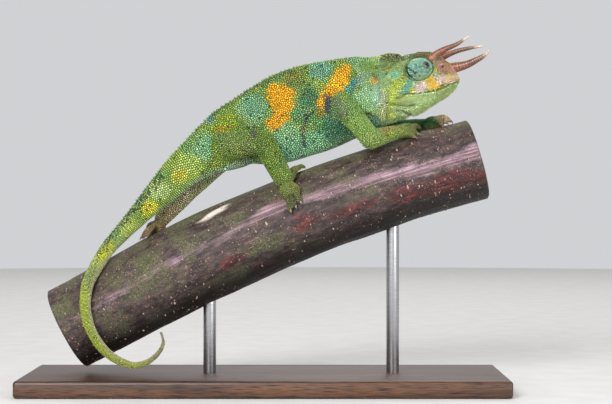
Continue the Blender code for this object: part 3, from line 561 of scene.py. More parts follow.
SCALE_DEPTH = 0.28            # how far the skin lies inside the outline that the scales reach
SPINE = (
    (45.0, 0.0, 145.5, 18.1, 8.3),
    (35.5, 0.0, 142.5, 19.6, 9.0),
    (25.5, 0.0, 139.5, 20.8, 9.5),
    (15.5, 0.0, 136.5, 21.0, 9.7),
    (6.5, 0.0, 133.0, 20.4, 9.4),
    (-3.0, 0.0, 129.9, 18.3, 8.8),
    (-11.5, 0.0, 127.0, 15.7, 8.0),
    (-18.5, 0.0, 123.2, 14.4, 7.2),
    (-25.5, 0.0, 119.4, 12.1, 6.4),
    (-31.5, 0.0, 115.4, 10.2, 5.8),
    (-38.5, 0.0, 109.8, 8.8, 5.4),
    (-45.5, -0.2, 102.9, 7.6, 5.0),
    (-52.6, -0.8, 95.6, 6.3, 4.4),
    (-60.2, -2.2, 87.4, 5.0, 3.8),
    (-67.2, -4.8, 79.8, 4.1, 3.3),
    (-73.5, -9.0, 72.2, 3.6, 3.0),
    (-78.0, -14.5, 64.3, 3.25, 2.8),
    (-81.0, -19.3, 56.4, 3.0, 2.6),
    (-81.6, -22.4, 48.6, 2.8, 2.5),
    (-80.4, -23.4, 40.2, 2.7, 2.35),
    (-76.8, -22.9, 32.2, 2.5, 2.2),
    (-72.2, -21.6, 26.1, 2.35, 2.05),
    (-66.2, -20.0, 21.9, 2.1, 1.85),
    (-59.7, -18.5, 19.7, 1.85, 1.65),
    (-53.7, -17.0, 21.1, 1.65, 1.5),
    (-49.1, -16.0, 24.7, 1.4, 1.3),
    (-46.6, -15.3, 29.6, 1.1, 1.0),
    (-47.6, -15.0, 35.0, 0.45, 0.45),
)
AXIS = [s[:3] for s in SPINE]
PEAR_TRUNK, PEAR_TAIL = 0.26, 0.08
HEAD_AT = (56.4, 0.0, 149.7)
HEAD_PITCH, HEAD_YAW, HEAD_ROLL = 13.0, 18.0, 12.0
HEAD_STATIONS = (0.0, 6.0, 11.8, 16.8, 22.0, 26.5, 30.5, 33.4, 35.0)
HEAD_LINES = {
    "crown": ((0.0,) * 9, (14.6, 13.9, 10.2, 8.8, 8.0, 6.6, 3.8, 1.8, -2.8)),
    "brow": (
        (3.4, 4.4, 5.3, 5.9, 6.0, 5.2, 4.1, 3.1, 1.7),
        (13.3, 12.9, 10.1, 9.9, 9.3, 7.9, 3.8, 0.6, -3.4),
    ),
    "temple": (
        (6.3, 6.5, 6.1, 5.7, 5.4, 5.1, 4.6, 3.7, 2.1),
        (7.0, 7.5, 6.4, 6.4, 6.0, 4.4, 1.2, -1.5, -4.2),
    ),
    "cheek": (
        (8.2, 9.0, 8.8, 7.8, 7.0, 6.4, 5.4, 4.2, 2.4),
        (-1.0, -0.9, -1.6, -2.6, -3.0, -3.3, -3.6, -4.0, -5.0),
    ),
    "lip": (
        (8.3, 9.3, 9.2, 8.4, 7.6, 6.8, 5.7, 4.3, 2.5),
        (-8.2, -8.7, -9.6, -10.4, -10.7, -10.3, -8.9, -7.3, -5.9),
    ),
    "jaw": (
        (7.6, 8.4, 8.3, 7.6, 6.8, 5.8, 4.6, 3.3, 1.8),
        (-12.8, -12.9, -13.2, -13.2, -12.8, -11.9, -10.4, -8.7, -6.9),
    ),
    "gular": (
        (5.2, 5.6, 5.2, 4.6, 4.0, 3.2, 2.3, 1.5, 0.8),
        (-16.6, -16.6, -16.6, -15.8, -14.3, -12.5, -10.9, -9.2, -7.6),
    ),
    "throat": ((0.0,) * 9, (-19.2, -18.4, -17.9, -16.7, -15.0, -12.9, -11.3, -9.6, -7.9)),
}
SNOUT_TIP = (35.9, 0.0, -5.6)
MOUTH = ((9.6, -9.7), (14.8, -10.7), (20.0, -11.2), (25.3, -11.2), (29.4, -10.1), (33.4, -8.2), (38.0, -5.9))
EYE_AT = (19.0, 6.5, 0.9)
TURRET_RADII = (6.2, 5.3, 5.3)
NOSTRIL_AT = (29.8, 4.9, -0.2)
LIMBS = {
    "upper_arm_right": ((36.4, -5.0, 140.6), (49.3, -14.2, 123.8), (6.4, 5.2, 5.0)),
    "forearm_right": ((49.3, -14.2, 123.8), (63.0, -9.4, 127.6), (4.7, 4.0, 3.1)),
    "thigh_right": ((-18.5, -3.5, 120.6), (-0.6, -12.5, 123.0), (7.6, 6.4, 5.4)),
    "shin_right": ((-0.6, -12.5, 123.0), (8.6, -16.5, 106.0), (5.4, 5.2, 4.7)),
    "upper_arm_left": ((39.8, 5.0, 142.5), (57.0, 14.0, 129.5), (6.4, 5.6, 4.4)),
    "forearm_left": ((57.0, 14.0, 129.5), (77.0, 8.4, 131.6), (4.4, 3.8, 2.9)),
    "thigh_left": ((-20.0, 3.5, 118.5), (-35.5, 11.5, 101.8), (8.0, 6.6, 5.2)),
    "shin_left": ((-35.5, 11.5, 101.8), (-49.0, 8.8, 87.0), (5.0, 4.7, 3.9)),
}
FEET = {
    "hind_foot_right": (
        (11.8, 56.0),
        (3, (12.6, 62.0), (14.4, 75.0), 2.5),
        (2, (11.6, 38.0), (17.0, -3.0), 2.9),
    ),
    "fore_foot_right": (
        (66.0, 16.0),
        (2, (66.8, 19.0), (70.3, 29.0), 2.6),
        (3, (67.2, 8.0), (71.4, -20.0), 3.4),
    ),
    "fore_foot_left": (
        (79.4, -15.0),
        (3, (80.2, -8.0), (84.6, 12.0), 4.1),
        (2, (80.6, -25.0), (84.2, -50.0), 2.8),
    ),
    "hind_foot_left": (
        (-51.8, -15.0),
        (2, (-52.4, -8.0), (-56.2, 12.0), 3.3),
        (3, (-52.8, -27.0), (-55.4, -54.0), 2.8),
    ),
}
PALM_RADII, PALM_HEIGHT = (4.8, 4.3, 3.6), 3.1
TOE_RADIUS, TOE_TIP_RADIUS = 1.3, 1.0
TOE_SPREAD_ROOT, TOE_SPREAD_TIP = 1.5, 2.35
RING_POINTS = 112             # points round the body
HEAD_RINGS, NECK_RINGS, TRUNK_RINGS = 58, 16, 300
VOXEL, EVENED = 0.55, 4       # the grid that melts the forms together, and how often it is smoothed
REGIONS = ("trunk", "neck", "head", "arm_near", "leg_near", "foot_near", "arm_far", "leg_far", "foot_far")

head_turn = np.array(
    Matrix.Rotation(math.radians(-HEAD_YAW), 3, "Z")
    @ Matrix.Rotation(math.radians(-HEAD_PITCH), 3, "Y")
    @ Matrix.Rotation(math.radians(-HEAD_ROLL), 3, "X")
)


def head_point(points):
    """Points forward, left and up of the nape, in the model's frame."""
    return np.asarray(points, float) @ head_turn.T + HEAD_AT


def in_head(points):
    """The other way: points of the model as forward, left and up of the nape."""
    return (np.asarray(points, float) - HEAD_AT) @ head_turn


def head_ring(f):
    """The head's outline at f, from the crown down its left side and up its right."""
    t = float(np.interp(f, HEAD_STATIONS, np.arange(len(HEAD_STATIONS))))
    half = [spline(list(zip(*line)), t) for line in HEAD_LINES.values()]
    half = [(max(l, 0.0), u) for l, u in half]
    loop = np.array(half + [(-l, u) for l, u in reversed(half[1:-1])])
    count = len(loop)
    steps = RING_POINTS // count
    ring = []
    for k in range(RING_POINTS):
        i, s = divmod(k, steps)
        l, u = spline(loop[[(i + j) % count for j in (-1, 0, 1, 2)]], 1 + s / steps)
        ring.append((f, l, u))
    return head_point(ring)


def section(t, count=RING_POINTS):
    """The ring of the trunk or tail at station t, from the middle of the back."""
    centre, ahead = spline(AXIS, t), slope(AXIS, t)
    back = np.array((ahead[2], 0.0, -ahead[0]))
    back -= ahead * (back @ ahead)
    back /= np.linalg.norm(back)
    side = np.cross(ahead, back)
    height, width = spline([s[3:] for s in SPINE], t)
    pear = PEAR_TRUNK + (PEAR_TAIL - PEAR_TRUNK) * min(max((t - 8) / 6, 0), 1)
    a = 2 * np.pi * np.arange(count)[:, None] / count
    return centre + back * height * np.cos(a) + side * width * np.sin(a) * (1 - pear * np.cos(a))


def neck_ring(share, first, last):
    """The ring a share of the way along the neck, turning from the trunk's ring to the head's."""
    along_trunk = -slope(AXIS, 0.0)
    along_head = head_turn[:, 0]
    pull = np.linalg.norm(last - first, axis=1)[:, None]
    t = share
    h1, h2 = 2 * t**3 - 3 * t**2 + 1, t**3 - 2 * t**2 + t
    h3, h4 = -2 * t**3 + 3 * t**2, t**3 - t**2
    return first * h1 + along_trunk * pull * h2 + last * h3 + along_head * pull * h4


def limb_rings(start, end, radii, sides=48, steps=44):
    """Rings of one length of a limb, rounded at both ends."""
    start, end = np.asarray(start), np.asarray(end)
    length = np.linalg.norm(end - start)
    ahead = (end - start) / length
    side = np.array(Vector(ahead).orthogonal().normalized())
    other = np.cross(ahead, side)
    rings = []
    for r in range(steps):
        share = r / (steps - 1)
        reached = (1 - math.cos(math.pi * (share * 0.96 + 0.02))) / 2
        along = -radii[0] + (length + radii[0] + radii[2]) * reached
        radius = float(spline([(v,) for v in radii], 2 * min(max(along / length, 0.0), 1.0))[0])
        over = max(-along, along - length, 0.0)
        radius *= math.sqrt(max(1 - (over / radius) ** 2, 0.005))
        a = 2 * np.pi * np.arange(sides)[:, None] / sides
        rings.append(start + ahead * along + radius * (side * np.cos(a) + other * np.sin(a)))
    return np.array(rings), start - ahead * radii[0], end + ahead * radii[2]


def tube_rings(points, radii, sides, steps, blunt=0.9):
    """Rings of a tapered tube along a smooth curve through the points, and its two end points."""
    last = len(points) - 1
    side, rings = None, []
    for r in range(steps):
        t = last * r / (steps - 1)
        centre, ahead = spline(points, t), slope(points, t)
        if side is None:
            side = np.array(Vector(ahead).orthogonal().normalized())
        side = side - ahead * (side @ ahead)
        side /= np.linalg.norm(side)
        a = 2 * np.pi * np.arange(sides)[:, None] / sides
        radius = float(spline([(v,) for v in radii], t)[0])
        rings.append(centre + radius * (side * np.cos(a) + np.cross(ahead, side) * np.sin(a)))
    first = np.asarray(points[0]) - slope(points, 0) * radii[0] * blunt
    return np.array(rings), first, np.asarray(points[-1]) + slope(points, last) * radii[-1] * blunt


def palm_rings(name):
    """Rings of the rounded palm of a foot."""
    (x, angle), *_ = FEET[name]
    centre = on_perch(x, angle, PALM_HEIGHT)
    out = on_perch(x, angle, 4.0) - on_perch(x, angle, 0.0)
    out /= np.linalg.norm(out)
    side = np.cross(out, (0.0, -1.0, 0.0) if abs(out[1]) < 0.9 else (1.0, 0.0, 0.0))
    side /= np.linalg.norm(side)
    other = np.cross(out, side)
    a = 2 * np.pi * np.arange(36)[:, None] / 36
    rings = []
    for polar in np.linspace(0.12, math.pi - 0.12, 20):
        flat_ring = side * PALM_RADII[0] * np.cos(a) + other * PALM_RADII[1] * np.sin(a)
        rings.append(centre + flat_ring * math.sin(polar) + out * PALM_RADII[2] * math.cos(polar))
    return np.array(rings), centre + out * PALM_RADII[2], centre - out * PALM_RADII[2]


def toe_lines(name):
    """The curve and radii of each toe of a foot, and the direction out of the bark at its tip."""
    made = []
    for count, root, tip, arch in FEET[name][1:]:
        run = np.array((tip[0] - root[0], math.radians(tip[1] - root[1]) * PERCH[0][2]))
        run /= np.linalg.norm(run)
        lateral = (-run[1], run[0])
        for index in range(count):
            place = index - (count - 1) / 2
            points, radii = [], []
            for t, height, radius, spread in (
                (-0.15, arch * 0.9, TOE_RADIUS * 1.15, TOE_SPREAD_ROOT),
                (0.3, arch, TOE_RADIUS * 1.1, (TOE_SPREAD_ROOT + TOE_SPREAD_TIP) / 2),
                (0.7, arch * 0.75, TOE_RADIUS, TOE_SPREAD_TIP),
                (1.0, TOE_TIP_RADIUS + 0.25, TOE_TIP_RADIUS, TOE_SPREAD_TIP * 1.05),
            ):
                x = root[0] + (tip[0] - root[0]) * t + lateral[0] * place * spread
                turn = (root[1] + (tip[1] - root[1]) * t
                        + math.degrees(lateral[1] * place * spread / PERCH[0][2]))
                points.append(on_perch(x, turn, height))
                radii.append(radius)
            x = points[-1][0]
            out = on_perch(x, tip[1], 4.0) - on_perch(x, tip[1], 0.0)
            made.append((points, radii, out / np.linalg.norm(out)))
    return made


# Every point of the plain forms also keeps its region, its place along and round its form, and its
# twin on the side that the photograph shows
forms, sources = [], []


def add_form(rings, ends, region, along, twin):
    """Keeps one closed form and what each of its points stands for."""
    vertices, faces = skin_rings(rings, *ends)
    forms.append((vertices, faces))
    steps, count = rings.shape[:2]
    turn = np.tile(np.arange(count) / count, steps)
    flat = rings.reshape(-1, 3)
    sources.append(np.column_stack([
        flat,
        np.full(len(flat), REGIONS.index(region)) if isinstance(region, str) else np.repeat(region, count),
        np.repeat(along, count), turn, twin,
    ]))


head_places = 35.0 * (1 - (1 - np.linspace(0.0, 1.0, HEAD_RINGS)) ** 1.12)
head_rings = [head_ring(f) for f in head_places]
first_ring = section(0.0)
neck_shares = np.linspace(1.0, 0.0, NECK_RINGS + 2)[1:-1]
neck_rings = [neck_ring(share, first_ring, head_rings[0]) for share in neck_shares]
trunk_places = np.linspace(0.0, len(SPINE) - 1.0, TRUNK_RINGS)
trunk_rings = [section(t) for t in trunk_places]
body_rings = np.array(head_rings[::-1] + neck_rings + trunk_rings)
body_axis = body_rings.mean(axis=1)
body_along = np.concatenate([[0.0], np.cumsum(np.linalg.norm(np.diff(body_axis, axis=0), axis=1))])
body_region = np.repeat([REGIONS.index(name) for name in ("head", "neck", "trunk")],
                        (HEAD_RINGS, NECK_RINGS, TRUNK_RINGS))
partner = np.array([(RING_POINTS - k) % RING_POINTS if 0 < k < RING_POINTS / 2 else k
                    for k in range(RING_POINTS)])
tail_end = spline(AXIS, 27.0) + slope(AXIS, 27.0) * SPINE[-1][3]
add_form(body_rings, (head_point(SNOUT_TIP), tail_end), body_region, body_along,
         body_rings[:, partner].reshape(-1, 3))


def mirrored(rings):
    """The near-side twin of each point of a limb, across the upright plane along its middle."""
    middle = rings.mean(axis=1)[:, None, 1]
    twin = rings.copy()
    twin[..., 1] = middle - np.abs(rings[..., 1] - middle)
    return twin.reshape(-1, 3)


for name, bones in LIMBS.items():
    rings, first_end, last_end = limb_rings(*bones)
    kind = "arm" if "arm" in name else "leg"
    side = "near" if name.endswith("right") else "far"
    lengthwise = np.linalg.norm(rings.mean(axis=1) - first_end, axis=1)
    add_form(rings, (first_end, last_end), f"{kind}_{side}", lengthwise, mirrored(rings))
for name in FEET:
    side = "near" if name.endswith("right") else "far"
    rings, first_end, last_end = palm_rings(name)
    add_form(rings, (first_end, last_end), f"foot_{side}", np.linspace(0, 6, len(rings)), mirrored(rings))
    for points, radii, _ in toe_lines(name):
        rings, first_end, last_end = tube_rings(points, radii, 16, 16)
        add_form(rings, (first_end, last_end), f"foot_{side}", np.linspace(6, 16, len(rings)),
                 mirrored(rings))

# The forms are melted into one skin by a voxel remesh, made here at a thousand times their size
vertices = np.vstack([v for v, _ in forms])
shift = np.cumsum([0] + [len(v) for v, _ in forms])
faces = [[c + s for c in face] for (_, group), s in zip(forms, shift) for face in group]
melted = bpy.data.meshes.new("melted")
melted.from_pydata(vertices.tolist(), [], faces)
lump = bpy.data.objects.new("melted", melted)
bpy.context.scene.collection.objects.link(lump)
remesh = lump.modifiers.new("one_skin", "REMESH")
remesh.mode, remesh.voxel_size = "VOXEL", VOXEL
even = lump.modifiers.new("evened", "SMOOTH")
even.factor, even.iterations = 0.5, EVENED
apply_all(lump)
count = len(lump.data.vertices)
skin_points = np.empty(count * 3, np.float32)
lump.data.vertices.foreach_get("co", skin_points)
skin_points = skin_points.reshape(-1, 3).astype(float)
normals = np.empty(count * 3, np.float32)
lump.data.vertex_normals.foreach_get("vector", normals)
normals = normals.reshape(-1, 3).astype(float)
skin_faces = [tuple(p.vertices) for p in lump.data.polygons]
bpy.data.objects.remove(lump)

source = np.vstack(sources)
source_tree = KDTree(len(source))
for i, row in enumerate(source[:, :3].tolist()):
    source_tree.insert(row, i)
source_tree.balance()


class Known:
    """What is known of points on the body: region, place along and round it, place in the photograph."""

    def __init__(self, points):
        self.points = np.asarray(points, float)
        nearest = np.array([source_tree.find(p)[1] for p in self.points.tolist()])
        rows = source[nearest]
        self.region = rows[:, 3].astype(int)
        self.along, self.turn = rows[:, 4], rows[:, 5]
        off = self.points - rows[:, :3]
        far = (rows[:, 6:9] - rows[:, :3])[:, 1] < -0.01
        off[far, 1] *= -1
        self.seen = photo_place(rows[:, 6:9] + off)
        self.head = in_head(self.points)
        self.head[:, 1] = np.abs(self.head[:, 1])

    def of(self, *names):
        return np.isin(self.region, [REGIONS.index(name) for name in names])


TRUNK, NECK, HEAD = ("trunk",), ("neck",), ("head",)
ARM, LEG, FOOT = ("arm_near",), ("leg_near",), ("foot_near",)
BODY, HEAD_NECK = TRUNK + NECK, HEAD + NECK
# Folds, as lines on the photograph: regions, line, depth in millimetres and half width in pixels
FOLDS = (
    (BODY, ((349, 107.5), (352.5, 111), (358, 114.5), (364, 115.2), (370, 114)), 1.6, 1.4),
    (TRUNK, ((313, 112), (307, 118), (304, 126), (302.5, 136), (305, 147)), 0.8, 1.6),
    (TRUNK, ((270, 136), (276, 147), (281, 162)), 0.9, 1.8),
    (BODY, ((343, 66), (353, 84), (350, 96)), 0.4, 2),
    (HEAD_NECK, ((376, 67), (379.5, 76), (378, 86), (380.5, 98)), 0.4, 2.6),
    (HEAD_NECK, ((387.5, 92), (388.5, 104), (386.5, 114), (388, 121)), 0.5, 1.9),
    (HEAD_NECK, ((393, 104.2), (400, 105.8), (407, 106.4), (414, 105.6)), 1, 1.9),
    (HEAD_NECK, ((396, 110), (403, 111.5), (409, 114.5)), 0.9, 1.9),
    (HEAD_NECK, ((399, 60.5), (390, 67), (384, 76)), 0.6, 2),
    (HEAD, ((404.5, 95), (401, 97.5), (396, 98.5)), 0.8, 1.8),
    (FOOT, ((288.5, 195.5), (290.5, 205)), 0.7, 1),
    (FOOT, ((293, 194.5), (296.3, 203.5)), 0.7, 1),
    (HEAD, ((401.5, 53), (403.5, 60)), 0.8, 1.8),
    (TRUNK, ((236, 132), (243, 144), (240, 160)), 0.6, 2.2),
)
# Swellings: regions, place on the photograph, reach in pixels, tilt and height in millimetres
SWELLINGS = (
    (BODY, (364, 101), (17, 12), 10, 1.1),
    (HEAD, (396, 84), (11, 10), 0, 0.7),
    (HEAD, (406, 99.5), (11, 4), 0, 0.9),
    (TRUNK, (318, 140), (16, 13), 0, 0.5),
    (HEAD, (392, 57), (11, 4), 0, 0.6),
)

# Close ribs of skin: regions, place on the photograph, reach in pixels, tilt and pitch in pixels
RIBS = ((ARM, (371, 142), (17, 9), -6, 2.3), (LEG, (248, 150), (11, 8), 90, 2.3))


def eye_distance(head):
    """1 on the outline of the eye's turret, seen from the side, less inside and more outside."""
    return np.hypot((head[:, 0] - EYE_AT[0]) / TURRET_RADII[0], (head[:, 2] - EYE_AT[2]) / TURRET_RADII[2])


def body_relief(known):
    """How far the skin stands out from, or lies in from, the plain forms."""
    head, seen = known.head, known.seen
    on_head = known.of("head")
    lift = 0.14 * cloud(known.points, 5.0, 21) + 0.07 * cloud(known.points, 2.2, 22)
    lift[known.of("foot_near", "foot_far")] *= 0.4
    slim = smoothstep(250.0, 318.0, known.along) * known.of("trunk")
    lift *= 1 - 0.8 * slim
    lift -= SCALE_DEPTH * (1 - 0.6 * slim) * np.where(known.of("foot_near", "foot_far"), 0.6, 1.0)
    for regions, line, depth, half_width in FOLDS:
        away = line_distance(seen, line)
        lift -= known.of(*regions) * depth * np.exp(-(away / half_width) ** 2)
        lift += known.of(*regions) * depth * 0.25 * np.exp(-((away - 2.4 * half_width) / half_width) ** 2)
    for regions, middle, reach, tilt, height in SWELLINGS:
        a = math.radians(tilt)
        d = seen - np.asarray(middle)
        across = d[:, 0] * math.cos(a) + d[:, 1] * math.sin(a)
        down = d[:, 1] * math.cos(a) - d[:, 0] * math.sin(a)
        near_it = np.exp(-((across / reach[0]) ** 2 + (down / reach[1]) ** 2) * 1.6)
        lift += known.of(*regions) * height * near_it
    # The head: mouth line between two lips, socket, brow, nostril and chin
    mouth = line_distance(head[:, [0, 2]], MOUTH)
    above = head[:, 2] - np.interp(head[:, 0], [p[0] for p in MOUTH], [p[1] for p in MOUTH])
    reach = on_head * smoothstep(9.0, 11.0, head[:, 0])
    lift -= reach * 0.75 * np.exp(-(mouth / 0.42) ** 2)
    lift += reach * 0.38 * np.exp(-((above - 1.15) / 0.75) ** 2)
    lift += reach * 0.22 * np.exp(-((above + 1.1) / 0.7) ** 2)
    eye = eye_distance(head)
    behind = 0.6 + 0.4 * np.clip((EYE_AT[0] - head[:, 0] + head[:, 2] - EYE_AT[2]) / 6.0, -1, 1)
    lift -= on_head * (0.5 + 0.9 * behind) * np.exp(-((eye - 1.04) / 0.085) ** 2)
    lift += on_head * 0.75 * behind * np.exp(-((eye - 1.3) / 0.13) ** 2)
    nostril = np.hypot(head[:, 0] - NOSTRIL_AT[0], head[:, 2] - NOSTRIL_AT[2])
    on_snout = on_head * smoothstep(2.0, 3.0, head[:, 1])
    lift += on_snout * (0.45 * np.exp(-((nostril - 1.15) / 0.4) ** 2) - 1.4 * np.exp(-(nostril / 0.55) ** 2))
    brow = line_distance(head[:, [0, 2]],
                        ((8.0, 10.3), (14.0, 8.6), (20.0, 8.2), (26.0, 7.0), (30.0, 3.6), (33.0, 0.5)))
    lift += on_head * smoothstep(2.0, 4.0, head[:, 1]) * 0.55 * np.exp(-(brow / 1.0) ** 2)
    knobs = smoothstep(9.5, 12.0, head[:, 2]) * on_head * smoothstep(20.0, 10.0, head[:, 0])
    lift += knobs * 0.4 * np.maximum(cloud(known.points, 2.4, 23), 0)
    # The limbs: close ribs of skin on the outside of the elbow and in front of the knee
    for regions, middle, reach, tilt, pitch in RIBS:
        where = in_spot(seen, middle, reach, tilt, 0.5) * known.of(*regions)
        a = math.radians(tilt)
        travel = seen[:, 0] * math.cos(a) + seen[:, 1] * math.sin(a)
        lift += where * 0.28 * np.sin(2 * np.pi * travel / pitch)
    return lift


known = Known(skin_points)
skin_points = skin_points + normals * body_relief(known)[:, None]
def surface_normals(points, faces):
    """The direction out of a surface of four-cornered faces at each of its points."""
    corners = points[np.array(faces)]
    face_normal = np.cross(corners[:, 2] - corners[:, 0], corners[:, 3] - corners[:, 1])
    summed = np.zeros_like(points)
    for k in range(4):
        np.add.at(summed, np.array(faces)[:, k], face_normal)
    return summed / np.maximum(np.linalg.norm(summed, axis=1), 1e-12)[:, None]


# Colours of the living animal: a ground of greens, with turquoise, lime, orange and pale markings.
# A marking is its regions, its shape on the photograph, its colour and its strength.
GROUND = {
    "trunk": ("#78993a", "#9fb84e", "#68a062"),
    "neck": ("#9ac068", "#bed77c", "#8ec496"),
    "head": ("#a9d07a", "#c6e284", "#94cca2"),
    "arm_near": ("#7aa249", "#9bb954", "#72a266"),
    "leg_near": ("#648530", "#859f3a", "#608446"),
    "foot_near": ("#767c3f", "#938f50", "#66733c"),
    # The far arm painted a darker green as painted shade
    "arm_far": ("#4f8f48", "#6faa55", "#468a62"),
    # The far leg: its own pale tan, made lighter still by painted light
    "leg_far": ("#c3c493", "#dccfa4", "#adb984"),
    "foot_far": ("#7d6042", "#a88b62", "#655339"),
}
TURQUOISE, BRIGHT_BLUE = "#7dbb93", "#2fa6b5"
YELLOW, ORANGE = "#e2dc38", "#f6b000"
PINK, BROWN, ARMPIT_SHADE = "#ffe6e2", "#6f5236", "#3d3a58"
REAR_BLAZE = (
    (265.6, 89.3), (273, 84.5), (281, 83.7), (295, 90.7), (294, 98), (292, 106), (288, 120),
    (280, 128), (271.2, 132.8), (265.6, 123), (272.6, 114.5), (269.8, 103), (267, 96),
)
FRONT_BLAZE = (
    (342.8, 64), (352, 62.6), (349.8, 73.9), (345.6, 90.7), (331.5, 97.3), (324.5, 100), (322, 108),
    (317.8, 106), (319, 97.7), (328.7, 83.7), (337, 68.2),
)
LIP_BAND = (
    (405.5, 95.5), (411, 90), (416, 87), (422, 84), (427, 78), (432, 75.5), (434, 80),
    (438, 82), (442, 79.5), (448, 77), (453, 77.5), (448, 82.5), (442, 86.5), (436, 89.2),
    (428, 90.6), (420, 91.4), (413, 92.4), (409, 95.5),
)
